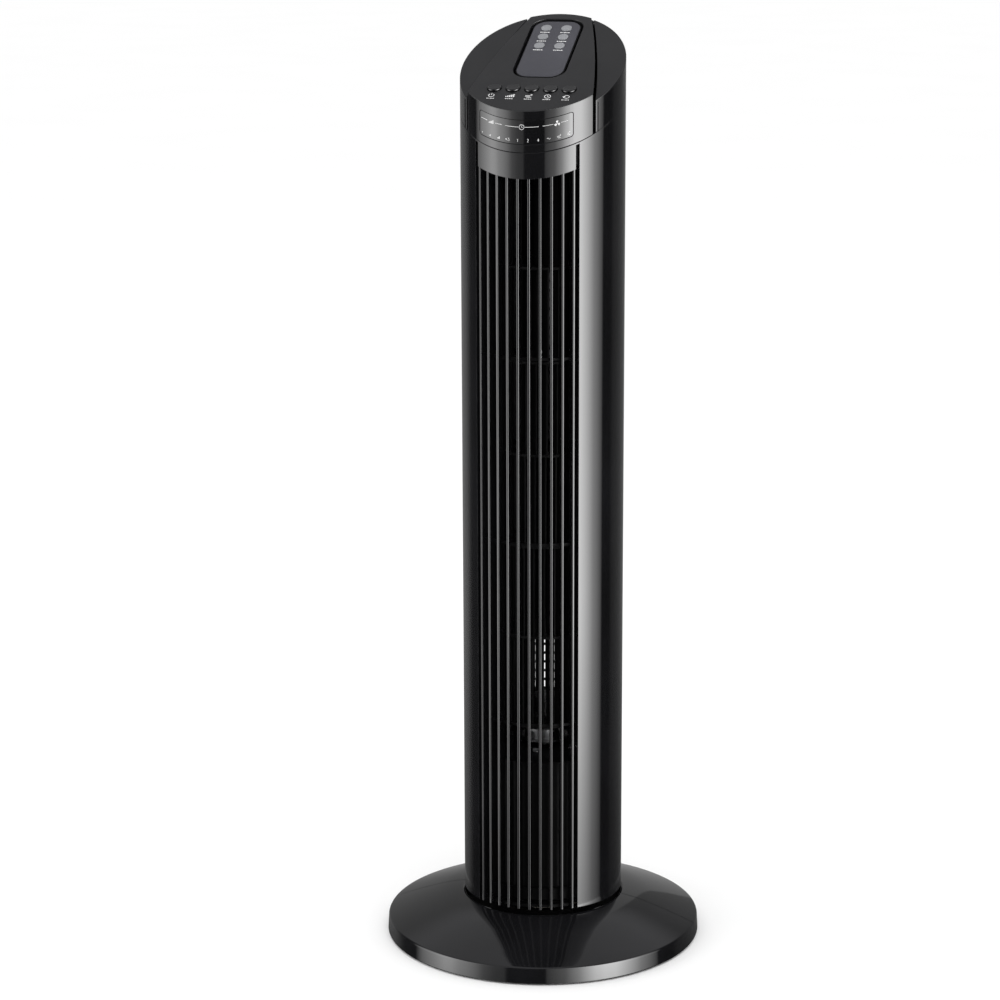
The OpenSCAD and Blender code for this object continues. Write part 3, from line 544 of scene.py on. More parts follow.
# Record slot -> finish, for the CAD nodes that stay on show
SLOT_FINISH = {
    "gloss_shell": GLOSS, "grille": GRILLE, "panel": SATIN, "panel_button": SATIN, "display": LENS,
    "inner_plastic": DARK, "impeller": BLADES, "nylon": NYLON, "steel": STEEL, "shield_metal": CAST,
    "copper": COPPER, "bronze": BRONZE, "capacitor": CAPACITOR, "rubber": RUBBER, "circuit_board": BOARD,
    "switch_plastic": DARK, "led": LAMP, "remote_case": CASE, "remote_key": KEY,
}


def finish_cad_nodes():
    slots = {row["node"]: row["material_slot"] for row in frame["record"]["subparts"]}
    for name, obj in frame["nodes"].items():
        obj.data.materials.clear()
        obj.data.materials.append(SLOT_FINISH[slots[name]])


finish_cad_nodes()

# ---------------------------------------------------------------- base


# Dome of the base from the rim to the crest: radius and height
DOME = ((127.0, 17.6), (121.0, 20.0), (115.5, 22.1), (108.0, 25.0), (100.5, 27.6), (93.5, 30.0),
        (86.5, 32.2), (80.5, 33.7), (75.0, 34.9))
BASE_GAP = 0.35         # half of the seam between the base's two halves
GLAND_Z = 7.3           # height of the cord gland in the rear half


def base_profile(rim_r):
    """Closed (radius, height) outline of the base's shell."""
    rim_top, crest_r, crest_z = 14.9, 69.0, BASE_TOP
    well_r, floor, hole = 67.2, 24.0, 22.2
    t = 2.8
    under = underside(t)
    points = [
        (rim_r - t, 1.2), (rim_r, 1.2), (rim_r - 0.8, rim_top), *DOME, (crest_r, crest_z),
        (well_r, crest_z - 0.4), (well_r, floor), (hole, floor), (hole, floor - 3),
        (well_r + t, floor - 3), (well_r + t, crest_z - 5), *under[1:], (rim_r - t, rim_top - 4),
    ]
    radii = [0.5, 0.9, 2.4, *[0] * len(DOME), 1.4, 0.6, 1.5, 0.6, 0.6, 0.8, 0, *[0] * (len(under) - 1), 1.5]
    return round_corners(points, radii)


def underside(depth):
    """The dome's line lowered by a depth, from the crest out to the rim."""
    return [(r, z - depth * 1.05) for r, z in reversed(DOME)]


def base_half(name, node, a0, a1, shift):
    """One half of the base's shell, moved away from the seam. Its well is painted dark as shade, using the
    dark inner finish.
    """
    shape = Shape()
    revolve(shape, base_profile(BASE_R - 0.05 - abs(shift)), a0, a1, 121, (0, shift))
    obj = make(name, shape, [GLOSS, DARK], "base", [node], sharp=30, flat=False)
    # Faces in the well under the tower take the dark inner finish: painted shade of the gap between the tower
    # and the base.
    for face in obj.data.polygons:
        if face.center.xy.length < 67.5 * MM and face.center.z < 34.5 * MM:
            face.material_index = 1
    return obj


def seam_strips():
    """Strips under the dome that close the seam between the two base halves."""
    line = underside(2.9)
    section = line + [(r, z - 1.2) for r, z in reversed(line)]
    shape = Shape()
    for side in (-1, 1):
        ends = [shape.loop([(side * r, y, z) for r, z in section]) for y in (-3, 3)]
        shape.skin(ends)
        shape.cap(ends[0], flip=side < 0)
        shape.cap(ends[1], flip=side > 0)
    make("base_seam_strips", shape, [DARK], "base", (), flat=False)


def build_base():
    front = base_half("base_front_shell", "base_front", -90, 90, -BASE_GAP)
    rear = base_half("base_rear_shell", "base_rear", 90, 270, BASE_GAP)
    cut(rear, [
        cylinder_cutter("gland_seat", 6.05, (0, BASE_R - 1.5, GLAND_Z), (0, BASE_R + 5, GLAND_Z)),
        cylinder_cutter("gland_hole", 4.65, (0, BASE_R - 12, GLAND_Z), (0, BASE_R, GLAND_Z)),
    ])
    soften(front, 0.4, 45)
    soften(rear, 0.4, 45)
    seam_strips()


build_base()

# ---------------------------------------------------------------- tower housings


HOUSING_END = 89.87     # angle from the front (or back) at which a housing ends


def above(plane, offset):
    """Height function of a slanted plane, moved up by an offset."""
    return lambda x, y: plane_z(plane, y) + offset


def above_seam(offset):
    return above(SEAM, offset)


def sector(r_out, r_in, a0, a1, step=2.0):
    """Counter-clockwise plan outline of a ring sector."""
    return arc(r_out, a0, a1, step) + arc(r_in, a1, a0, step)


def mirror_x(outline):
    return [(-x, y) for x, y in reversed(outline)]


def window_levels(s, half, low, high, corner):
    """Lower and upper edge of a round-cornered window at distance s from its middle."""
    over = abs(s) - (half - corner)
    if over >= corner - 1e-6:
        return low + corner, high - corner
    rise = corner - math.sqrt(corner ** 2 - max(0.0, over) ** 2)
    return low + rise, high - rise


def corner_stops(half, corner, steps=5):
    """Distances at which a window's round corners need columns."""
    stops = [half - corner + corner * math.sin(a) for a in spread(0, math.pi / 2, steps)]
    return [-s for s in reversed(stops)] + stops


def merged(values, tolerance):
    """Sorted values without near-doubles; earlier-listed exact stops win."""
    kept = []
    for value in values:
        if all(abs(value - other) > tolerance for other in kept):
            kept.append(value)
    return sorted(kept)


def front_housing():
    inner = BODY_R - WALL
    shape = Shape()
    side = [
        *arc(BODY_R, WINDOW_ANGLE, HOUSING_END), *arc(inner, HOUSING_END, 42.0),
        at(42.15, inner - 9), at(40.05, inner - 9), at(39.7, inner),
    ]
    for outline in (side, mirror_x(side)):
        prism(shape, outline, TOWER_BOTTOM, above_seam(-REVEAL), 0.5, 0.4)
    edge = WINDOW_ANGLE + 1.2
    prism(shape, sector(inner - 6.8, inner - 8.8, -edge, edge), 46, 56, mark=1)
    prism(shape, sector(inner - 0.2, inner - 2, -edge, edge), above_seam(-BAND_H + 1.5),
          above_seam(-REVEAL), mark=1)
    for sign in (-1, 1):
        for z in SCREW_LEVELS:
            tab = [(58.2, -12), (65, -12), (65, -0.2), (58.2, -0.2)]
            prism(shape, tab if sign > 0 else mirror_x(tab), z - 5, z + 5, 0.4, 0.4)
    obj = make("front_shell", shape, [GLOSS, DARK], "tower", ["front_housing"], flat=False)
    soften(obj, 0.45)


def slat_outline(angle):
    """Plan outline of one slat: blunt nose on the tower's surface, slimmer towards the axis."""
    nose, tail, corner = SLAT_T / 2, SLAT_T / 2 - 0.35, 0.8
    local = [(tail, -(BODY_R - SLAT_DEPTH)), (-tail, -(BODY_R - SLAT_DEPTH))]
    for side, start in ((-1, 0), (1, 90)):
        for a in spread(start, start + 90, 6):
            turn = math.radians(a)
            local.append((side * (nose - corner) - corner * math.cos(turn),
                          -(BODY_R - 0.02 - corner) - corner * math.sin(turn)))
    turn = Matrix.Rotation(math.radians(angle), 2)
    return [tuple(turn @ Vector(p)) for p in local]


def outlet_grille():
    half = (SLATS - 1) / 2 * SLAT_PITCH
    inner = BODY_R - WALL
    shape = Shape()
    for i in range(SLATS):
        prism(shape, slat_outline(-half + i * SLAT_PITCH), TOWER_BOTTOM, above_seam(-BAND_H + 1.0), 0.35, 0)
    edge = half + 1.02
    prism(shape, sector(BODY_R, inner, -edge, edge), above_seam(-BAND_H), above_seam(-REVEAL), 0.6, 0.4)
    for a0, a1 in ((-WINDOW_ANGLE + 0.15, -edge), (edge, WINDOW_ANGLE - 0.15)):
        prism(shape, sector(BODY_R, inner, a0, a1), above_seam(-1.8), above_seam(-REVEAL), 0.3, 0.4)
    # The hoop at the foot and the stays behind the slats take the dark inner finish: painted shade, so that
    # they stay dark inside the tower.
    prism(shape, sector(BODY_R - 5.5, BODY_R - 7.5, -half - 2, half + 2), TOWER_BOTTOM + 0.6,
          TOWER_BOTTOM + 3, mark=1)
    stay = sector(BODY_R - 6.5, BODY_R - 8.8, -half - 2.4, half + 2.4)
    for z in STAY_LEVELS:
        prism(shape, stay, z, z + 2.4, 0.3, 0.3, mark=1)
    make("outlet_slats", shape, [GLOSS, DARK], "tower", ["outlet_grille"])


def rear_housing():
    """Rear half of the tower's wall, unrolled by arc length s, with the inlet and the hand grip open."""
    grip_half = math.asin(GRIP[0] / BODY_R) * BODY_R
    inlet_half = math.radians(INLET_ANGLE) * BODY_R
    grip_corner, inlet_corner = 9.0, 4.0
    end = math.radians(HOUSING_END) * BODY_R
    columns = merged(
        [-end, end, *corner_stops(grip_half, grip_corner, 7), *corner_stops(inlet_half, inlet_corner),
         *spread(-end + 2, end - 2, 90)], 0.3)
    lips = quarter(0.5, 4)
    shape = Shape()

    def heights(s):
        top = plane_z(SEAM, -math.cos(math.radians(180 + math.degrees(s / BODY_R))) * BODY_R) - REVEAL
        inlet = window_levels(s, inlet_half, INLET_LOW, INLET_HIGH, inlet_corner)
        grip = window_levels(s, grip_half, GRIP[1], GRIP[2], grip_corner)
        grip_top = grip[1] if abs(s) <= grip_half else min(grip[1], top - 8)
        grip_low = grip[0] if abs(s) <= grip_half else min(grip[0], grip_top - 4)
        return [TOWER_BOTTOM, *inlet, grip_low, grip_top, top]

    def row(level, inset=0.0, lift=0.0):
        return shape.loop([
            (*at(180 + math.degrees(s / BODY_R), BODY_R - inset), heights(s)[level] + lift) for s in columns
        ])

    rows = [row(0, inset, drop) for inset, drop in lips]
    rows += [row(level) for level in (1, 2, 3, 4)]
    rows += [row(5, inset, -drop) for inset, drop in reversed(lips)]
    first = len(lips) - 1

    def keep(r, c):
        middle = (columns[c] + columns[c + 1]) / 2
        in_inlet = r == first + 1 and abs(middle) < inlet_half
        in_grip = r == first + 3 and abs(middle) < grip_half
        return not (in_inlet or in_grip)

    shape.grid(rows, keep=keep)
    obj = make("rear_shell", shape, [GLOSS], "tower", ["rear_housing"], flat=False)
    face_outwards(obj)
    shell(obj, WALL)
    cut(obj, [
        cylinder_cutter("screw_hole", 3.4, (sign * SCREW_X, 11, z), (sign * SCREW_X, 50, z), 32)
        for sign in (-1, 1) for z in SCREW_LEVELS
    ])
    soften(obj, 0.3)
    hand_grip(grip_corner)


def face_outwards(obj):
    """Turns an open skin so that its normals point away from the tower's axis or up."""
    score = 0.0
    for polygon in obj.data.polygons:
        outward = Vector((polygon.center.x, polygon.center.y, 0)).normalized()
        score += polygon.area * (polygon.normal.dot(outward) + 0.5 * polygon.normal.z)
    if score < 0:
        obj.data.flip_normals()


def hand_grip(corner):
    """Cup behind the opening that the fingers reach into."""
    half, low, high, back = GRIP
    outline = rounded_rect(2 * half, high - low, corner, 9)
    middle = (low + high) / 2
    shape = Shape()
    loops = []
    mouth = BODY_R - WALL + 0.4
    for shrink, depth in ((0, 0), (0.25, 1.5), (0.6, 6.0)):
        ring = inset_loop(outline, shrink)
        loops.append(shape.loop([(x, math.sqrt(mouth ** 2 - x ** 2) - depth, z + middle) for x, z in ring]))
    for inset, drop in reversed(quarter(4.0, 6)):
        ring = inset_loop(outline, 1.0 + inset)
        loops.append(shape.loop([(x, back + drop, z + middle) for x, z in ring]))
    shape.skin(loops)
    shape.cap(loops[-1])
    make("hand_grip", shape, [DARK], "tower", (), sharp=60)


def rear_grille():
    """Level bars that follow the wall, and the upright ribs behind them."""
    open_angle = INLET_ANGLE - 0.25
    section = rounded_rect(2.5, 2.2, 0.7, 2)
    shape = Shape()
    level = INLET_LOW + 0.3
    while level < INLET_HIGH - 2.5:
        profile = [(BODY_R - 1.35 + dr, level + 1.1 + dz) for dr, dz in section]
        revolve(shape, profile, 180 - open_angle, 180 + open_angle, int(2 * open_angle / 3) + 1)
        level += INLET_PITCH
    for i in range(6):
        nudge = 1.2 if i == 0 else (-1.2 if i == 5 else 0)
        angle = 180 - open_angle + i * 2 * open_angle / 5 + nudge
        turn = Matrix.Rotation(math.radians(angle), 2)
        outline = [tuple(turn @ Vector((x, y - (BODY_R - 2.8)))) for x, y in rounded_rect(2.4, 4.4, 0.6, 3)]
        prism(shape, outline, INLET_LOW + 0.3, INLET_HIGH - 0.3, 0.4, 0.4)
    make("inlet_bars", shape, [GRILLE], "tower", ["rear_grille"])


front_housing()
outlet_grille()
rear_housing()
rear_grille()

# ---------------------------------------------------------------- head


def groove_x(y, side):
    """Middle of the groove beside the panel at depth y, on the side +1 or -1."""
    return side * (-GROOVE_X + math.sqrt(GROOVE_R ** 2 - (y - GROOVE_Y) ** 2))


def groove_meets(radius, offset, rear):
    """Angle from the front at which a groove's edge reaches a radius."""
    low, high = (120.0, 179.0) if rear else (10.0, 89.0)
    for _ in range(40):
        middle = (low + high) / 2
        x, y = at(middle, radius)
        if (x > groove_x(y, 1) + offset) != rear:
            high = middle
        else:
            low = middle
    return (low + high) / 2


def blunted(columns, corners, radius=0.6):
    """Rounds the corners of a plan made of (x, y, s) columns, where wall and groove meet."""
    radii = [radius if i in corners else 0 for i in range(len(columns))]
    points = round_corners([(x, y) for x, y, s in columns], radii, 4)
    marks = [mark for (x, y, s), r in zip(columns, radii) for mark in ([None] * 5 if r else [s])]
    return [(x, y, s) for (x, y), s in zip(points, marks)]


def head_wing(side):
    """One side shell of the head: a tray turned upside down, with a wall along the groove."""
    a0 = groove_meets(BODY_R, GROOVE_HALF, False)
    a1 = groove_meets(BODY_R, GROOVE_HALF, True)
    outer = arc(BODY_R, a0, a1, 2.0)
    ys = spread(outer[-1][1], outer[0][1], 44)[1:-1]
    columns = [(x, y, None) for x, y in outer] + [(groove_x(y, 1) + GROOVE_HALF, y, None) for y in ys]
    outline = [(x, y) for x, y, s in blunted(columns, (0, len(outer) - 1))]

    def foot(x, y):
        on_wall = math.hypot(x, y) > BODY_R - WALL - 0.6
        return plane_z(SEAM, y) + REVEAL if on_wall else plane_z(HEAD, y) - 10

    shape = Shape()
    loops = [shape.loop([(x, y, foot(x, y)) for x, y in outline])]
    for inset, drop in reversed(quarter(0.5, 5)):
        loops.append(shape.loop([(x, y, plane_z(HEAD, y) - drop) for x, y in inset_loop(outline, inset)]))
    shape.skin(loops)
    shape.cap(loops[-1], mark=1)
    within = inset_loop(outline, WALL)
    under = [
        shape.loop([(x, y, foot(*outer_point)) for (x, y), outer_point in zip(within, outline)]),
        shape.loop([(x, y, plane_z(HEAD, y) - WALL) for x, y in within]),
    ]
    shape.bridge(under[0], loops[0])
    shape.skin(under[::-1])
    shape.cap(under[-1], flip=True)
    if side < 0:
        shape.points = [(-x, y, z) for x, y, z in shape.points]
    name = "head_wing_right" if side > 0 else "head_wing_left"
    make(name, shape, [GLOSS, SATIN], "tower", ["head_shell"])


def head_rear():
    """Lower strip of the head's wall between the two grooves, and the lip inside the seam."""
    shape = Shape()
    a0 = groove_meets(BODY_R, GROOVE_HALF, True) - 0.6
    inner = BODY_R - WALL
    prism(shape, sector(BODY_R, inner, a0, 360 - a0), above_seam(REVEAL), above(HEAD, -3.4), 0.4, 0.5)
    prism(shape, sector(inner - 0.15, inner - 2, 54, 306), above_seam(-6), above_seam(6), 0.3, 0.3)
    a1 = groove_meets(BODY_R, -GROOVE_HALF, True) - 0.15
    for start, end in ((a0 + 0.5, a1), (360 - a1, 359.5 - a0)):
        prism(shape, sector(BODY_R, inner, start, end, 0.3), above(HEAD, -6), above(HEAD, -0.9))
    make("head_rear_strip", shape, [GLOSS], "tower", ["head_shell"])


def cup(shape, outline, depth, edge, foot):
    """Blind hole in the panel. Returns the loop that the panel's top leaves open."""
    def placed(points, n):
        return shape.loop([on_panel(x, u, n) for x, u in points])

    loops = [placed(inset_loop(outline, -inset), -drop) for inset, drop in quarter(edge, 4)]
    for inset, drop in reversed(quarter(foot, 4)):
        loops.append(placed(inset_loop(outline, inset), -depth + drop))
    shape.skin(loops, mark=1)
    shape.cap(loops[-1], mark=1)
    return loops[0]


def cup_back(shape, outline, depth, wall=1.2):
    """Outside of a blind hole, under the panel. Returns the loop that the underside leaves open."""
    wider = inset_loop(outline, -wall)
    under = -PANEL_T * math.cos(PANEL_TILT)
    loops = [shape.loop([on_panel(x, u, n) for x, u in wider]) for n in (under, -depth - wall)]
    shape.skin(loops)
    shape.cap(loops[-1], flip=True)
    return loops[0]


def shifted(outline, dx, dy):
    return [(x + dx, y + dy) for x, y in outline]


def button_places():
    return [((i - 2) * BUTTON_PITCH, BUTTON_U) for i in range(5)]


def panel_columns():
    """Plan outline of the panel, counter-clockwise from the front left, with the window's columns."""
    half = math.radians(DISPLAY_ANGLE) * BODY_R + 0.3
    stops = corner_stops(half, DISPLAY_CORNER + 0.3)
    end = math.radians(groove_meets(BODY_R, -GROOVE_HALF, False)) * BODY_R
    inside = merged(stops + spread(-half + 1.6, half - 1.6, 38), 0.25)
    outside = spread(half, end, 8)[1:]
    front = [-s for s in reversed(outside)] + inside + outside
    plan = [(*at(math.degrees(s / BODY_R), BODY_R), s) for s in front]
    rear = groove_meets(BODY_R, -GROOVE_HALF, True)
    rear_arc = arc(BODY_R, rear, 360 - rear, 2.0)
    ys = spread(plan[-1][1], rear_arc[0][1], 46)[1:-1]
    plan += [(groove_x(y, 1) - GROOVE_HALF, y, None) for y in ys]
    rear_at = len(plan)
    plan += [(x, y, None) for x, y in rear_arc]
    plan += [(groove_x(y, -1) + GROOVE_HALF, y, None) for y in reversed(ys)]
    corners = (0, len(front) - 1, rear_at, rear_at + len(rear_arc) - 1)
    return blunted(plan, corners), half, inside


def panel_foot(x, y, s):
    """Lower end of the panel's wall: on the seam at the front, short beside the grooves."""
    if s is not None or (y < 0 and math.hypot(x, y) > BODY_R - WALL - 0.4):
        return plane_z(SEAM, y) + REVEAL
    on_rear = math.hypot(x, y) > BODY_R - WALL - 0.9
    return plane_z(HEAD, y) - (2.8 if on_rear else 6.0)


def control_panel():
    plan, half, inside = panel_columns()
    flat = [(x, y) for x, y, s in plan]
    corner = DISPLAY_CORNER + 0.3
    low, high = DISPLAY_LOW - 0.3, DISPLAY_LOW + DISPLAY_H + 0.3
    shape = Shape()

    def levels(x, y, s):
        foot, top = panel_foot(x, y, s), plane_z(PANEL, y) - 0.66
        if s is None:
            return [foot + (top - foot) * k / 3 for k in range(4)]
        lower, upper = window_levels(s, half, low, high, corner)
        base = plane_z(SEAM, y)
        return [foot, base + lower, base + upper, top]

    heights = [levels(*column) for column in plan]
    rows = [shape.loop([(x, y, heights[i][k]) for i, (x, y) in enumerate(flat)]) for k in range(4)]
    count = len(plan)
    for k in range(3):
        for i in range(count):
            j = (i + 1) % count
            s0, s1 = plan[i][2], plan[j][2]
            in_window = k == 1 and s0 is not None and s1 is not None and abs(s0 + s1) / 2 < half
            if not in_window:
                shape.face((rows[k][i], rows[k][j], rows[k + 1][j], rows[k + 1][i]))
    top = []
    for inset, drop in reversed(quarter(0.55, 6)):
        top.append(shape.loop([(x, y, plane_z(PANEL, y) - drop * 1.2) for x, y in inset_loop(flat, inset)]))
    shape.skin([rows[3], *top[1:]], mark=1)
    wells = [shifted(circle(BUTTON_R + 0.25, 48), x, u) for x, u in button_places()]
    length = REMOTE_L + DOCK_CLEAR + DOCK_FAR
    dock = rounded_rect(REMOTE_W + 2 * DOCK_CLEAR, length, REMOTE_CORNER + DOCK_CLEAR, 10)
    dock = shifted(dock, 0, REMOTE_U + (DOCK_FAR - DOCK_CLEAR) / 2)
    holes = [cup(shape, well, WELL_DEPTH, 0.35, 0.8) for well in wells]
    holes.append(cup(shape, dock, -DOCK_FLOOR, 0.7, 1.4))
    shape.cap(top[-1], [list(reversed(hole)) for hole in holes], mark=1)

    within = inset_loop(flat, WALL)
    under = [
        shape.loop([(x, y, panel_foot(*column)) for (x, y), column in zip(within, plan)]),
        shape.loop([(x, y, plane_z(PANEL, y) - PANEL_T) for x, y in within]),
    ]
    shape.bridge(under[0], rows[0])
    shape.skin(under[::-1])
    backs = [cup_back(shape, well, WELL_DEPTH) for well in wells] + [cup_back(shape, dock, -DOCK_FLOOR)]
    shape.cap(under[-1], [list(reversed(back)) for back in backs], flip=True)

    recess = []
    for grow, drop in [*quarter(0.3, 4), (0.0, 1.5)]:
        recess.append(shape.loop(window_ring(inside, half, grow - 0.3, BODY_R - drop)))
    shape.skin(recess)
    fill_window(shape, recess[-1])
    make("control_panel_shell", shape, [GLOSS, SATIN], "tower", ["control_panel"])


def fill_window(shape, ring):
    """Upright strips between the lower and the upper side of a window ring."""
    last = len(ring) - 1
    for i in range(len(ring) // 2 - 1):
        shape.face((ring[i], ring[i + 1], ring[last - 1 - i], ring[last - i]))


def window_ring(columns, half, grow, radius):
    """Closed ring round the display window, moved outwards by grow, at a radius."""
    corner = DISPLAY_CORNER + 0.3 + grow
    low, high = DISPLAY_LOW - 0.3 - grow, DISPLAY_LOW + DISPLAY_H + 0.3 + grow
    lower, upper = [], []
    for s in columns:
        moved = s * (half + grow) / half
        x, y = at(math.degrees(moved / BODY_R), radius)
        bottom, top = window_levels(moved, half + grow, low, high, corner)
        lower.append((x, y, plane_z(SEAM, y) + bottom))
        upper.append((x, y, plane_z(SEAM, y) + top))
    return lower + upper[::-1]


def display_window():
    _, half, inside = panel_columns()
    shape = Shape()
    rings = []
    for grow, drop in ((-0.62, 1.4), (-0.52, 0.6), (-0.56, 0.28), (-0.66, 0.16), (-0.85, 0.10)):
        rings.append(shape.loop(window_ring(inside, half, grow, BODY_R - drop)))
    shape.skin(rings)
    fill_window(shape, rings[0])
    fill_window(shape, rings[-1])
    make("display_window", shape, [LENS], "tower", ["display_lens"])


head_wing(1)
head_wing(-1)
head_rear()
control_panel()
display_window()

# ---------------------------------------------------------------- buttons and remote

BUTTONS = ("power", "speed", "mode", "timer", "swing")
KEYS = (("power", "speed"), ("timer", "mode"), ("quiet", "swing"))
BUTTON_LIFT = 0.15      # rear edge of a button above the panel
KEY_FOOT = 1.95         # a key's lower and upper face, below and above the remote's cover
KEY_PROUD = 0.72


def to_panel(shape):
    """Moves points given as (x, u, n) onto the panel's slope."""
    shape.points = [on_panel(*p) for p in shape.points]


def button_ring(outline, inset, drop, slope):
    """Loop of a button's edge, which is rounder towards the front."""
    ring = []
    for px, pu in outline:
        front = 0.5 - 0.5 * pu / BUTTON_R
        scale = 1 - (0.4 + 1.7 * front) * inset / BUTTON_R
        height = BUTTON_LIFT + (BUTTON_R - pu * scale) * slope - (0.3 + 1.3 * front) * drop
        ring.append((px * scale, pu * scale, height))
    return ring


def panel_buttons():
    slope = math.tan(math.radians(10))
    for word, (x, u) in zip(BUTTONS, button_places()):
        shape = Shape()
        outline = circle(BUTTON_R, 56)
        rings = [[(px, pu, -4.6) for px, pu in outline]]
        rings += [button_ring(outline, inset, drop, slope) for inset, drop in reversed(quarter(1.0, 9))]
        for scale in (0.45, 0.2):
            dip = 0.3 * (1 - scale)
            rings.append([(px * scale, pu * scale, BUTTON_LIFT + (BUTTON_R - pu * scale) * slope - dip)
                          for px, pu in outline])
        loops = [shape.loop([(px + x, pu + u, n) for px, pu, n in ring]) for ring in rings]
        shape.skin(loops[:10])
        shape.skin(loops[9:], mark=1)
        shape.cap(loops[0], flip=True)
        shape.cap(loops[-1], mark=1)
        to_panel(shape)
        node = f"button_{word}"
        make(f"cap_{word}", shape, [GLOSS, SATIN], node, [node], sharp=60)


def key_places():
    """(word, x, u) of each key on the remote."""
    places = []
    for pair, row in zip(KEYS, KEY_ROWS):
        for word, side in zip(pair, (-1, 1)):
            places.append((word, side * KEY_X, REMOTE_U + REMOTE_L / 2 - row))
    return places


def remote_plate(name, low, high, r_low, r_high, node, open_keys, crown=1.0):
    """One half of the remote's case; a crown above 1 widens the rounding of its upper edge."""
    outline = shifted(rounded_rect(REMOTE_W, REMOTE_L, REMOTE_CORNER, 12), 0, REMOTE_U)
    shape = Shape()
    loops = []
    for inset, drop in quarter(r_low, 5):
        loops.append(shape.loop([(x, u, low + drop) for x, u in inset_loop(outline, inset)]))
    for inset, drop in reversed(quarter(r_high, 8)):
        loops.append(shape.loop([(x, u, high - drop) for x, u in inset_loop(outline, inset * crown)]))
    # The bottom, its rounding, the sides and the outer half of the upper rounding take the dark inner finish:
    # painted shade of the gap round the remote in its dock.
    shape.skin(loops[:9], mark=1)
    shape.skin(loops[8:])
    shape.cap(loops[0], mark=1, flip=True)
    holes = []
    if open_keys:
        for _, x, u in key_places():
            hole = shifted(circle(KEY_R + 0.15, 40), x, u)
            rings = [
                shape.loop([(px, pu, high - drop) for px, pu in inset_loop(hole, -inset)])
                for inset, drop in quarter(0.3, 4)
            ]
            rings.append(shape.loop([(px, pu, high - 2.9) for px, pu in hole]))
            shape.skin(rings)
            shape.cap(rings[-1])
            holes.append(list(reversed(rings[0])))
    shape.cap(loops[-1], holes)
    to_panel(shape)
    make(name, shape, [CASE, DARK], "remote", [node])


def remote():
    split = REMOTE_TOP - REMOTE_T / 2
    remote_plate("remote_cover", split + 0.08, REMOTE_TOP, 0.3, 1.9, "remote_case_top", True, 2.6)
    remote_plate("remote_back", REMOTE_TOP - REMOTE_T, split - 0.08, 1.2, 0.3, "remote_case_bottom", False)
    for word, x, u in key_places():
        shape = Shape()
        outline = circle(KEY_R, 44)
        rings = [(outline, -KEY_FOOT)]
        rings += [(inset_loop(outline, inset), KEY_PROUD - drop) for inset, drop in reversed(quarter(0.5, 5))]
        for scale, rise in ((0.62, 0.05), (0.3, 0.08)):
            rings.append(([(px * scale, pu * scale) for px, pu in outline], KEY_PROUD + rise))
        loops = [shape.loop([(px + x, pu + u, REMOTE_TOP + n) for px, pu in ring]) for ring, n in rings]
        shape.skin(loops)
        shape.cap(loops[0], flip=True)
        shape.cap(loops[-1])
        to_panel(shape)
        node = f"remote_key_{word}"
        make(f"key_{word}", shape, [KEY], node, [node], sharp=60)


panel_buttons()
remote()

# ---------------------------------------------------------------- prints


class Print:
    """Thin raised ink on a surface. place(a, b, lift) gives a point lift above the surface."""

    def __init__(self, place, lift=0.04, width=0.35):
        self.shape = Shape()
        self.place = place
        self.lift = lift
        self.width = width

    def stroke(self, points, centre=(0, 0), scale=1.0, width=None, closed=False):
        half = (width or self.width) / 2
        dense = self.dense([(centre[0] + x * scale, centre[1] + y * scale) for x, y in points], closed)
        count = len(dense)
        loops = []
        for i, (x, y) in enumerate(dense):
            before = dense[i - 1] if (i or closed) else dense[i]
            after = dense[(i + 1) % count] if (i < count - 1 or closed) else dense[i]
            along = Vector((after[0] - before[0], after[1] - before[1])).normalized()
            side = Vector((-along.y, along.x)) * half
            left, right = (x + side.x, y + side.y), (x - side.x, y - side.y)
            loops.append(self.shape.loop([
                self.place(*left, -0.05), self.place(*left, self.lift),
                self.place(*right, self.lift), self.place(*right, -0.05),
            ]))
        self.shape.skin(loops + loops[:1] if closed else loops)
        if not closed:
            self.shape.cap(loops[0])
            self.shape.cap(loops[-1], flip=True)

    @staticmethod
    def dense(points, closed, step=0.9):
        """Adds points so that a long stroke follows a curved surface."""
        result = []
        for (ax, ay), (bx, by) in zip(points, points[1:] + points[:1] if closed else points[1:]):
            pieces = max(1, int(math.dist((ax, ay), (bx, by)) / step))
            result += [(ax + (bx - ax) * k / pieces, ay + (by - ay) * k / pieces) for k in range(pieces)]
        if not closed:
            result.append(points[-1])
        return result

    def patch(self, points, centre=(0, 0), scale=1.0):
        ring = [(centre[0] + x * scale, centre[1] + y * scale) for x, y in points]
        low = self.shape.loop([self.place(x, y, -0.05) for x, y in ring])
        high = self.shape.loop([self.place(x, y, self.lift) for x, y in ring])
        self.shape.bridge(low, high)
        self.shape.cap(low, flip=True)
        self.shape.cap(high)

    def icon(self, word, centre, scale=1.0):
        strokes, patches = ICONS[word]
        for points, closed in strokes:
            self.stroke(points, centre, scale, closed=closed)
        for points in patches:
            self.patch(points, centre, scale)

    def caption(self, centre, dashes=(1.1, 0.7, 1.4, 0.9), height=0.6):
        """Short row of dashes where the real object has a printed word."""
        total = sum(dashes) + 0.45 * (len(dashes) - 1)
        x = centre[0] - total / 2
        for dash in dashes:
            self.stroke([(x, centre[1]), (x + dash, centre[1])], width=height)
            x += dash + 0.45

    def finish(self, name, body):
        make(name, self.shape, [INK], body, (), sharp=30, weld=1e-4, flat=False)


def bow(radius, start, end, count=14, centre=(0, 0)):
    """Points on an arc, angles in degrees from +X."""
    return [
        (centre[0] + radius * math.cos(math.radians(a)), centre[1] + radius * math.sin(math.radians(a)))
        for a in spread(start, end, count)
    ]


def bar(x, height, width=0.75, foot=-1.7):
    low, high, top = x - width / 2, x + width / 2, foot + height
    return [(low, foot), (high, foot), (high, top), (low, top)]


def breeze(y, length, curl):
    """Level line that ends in a small hook, one line of a wind symbol."""
    return [(-2.3, y), (length, y), *bow(curl, -90, 120, 8, (length, y + curl))]


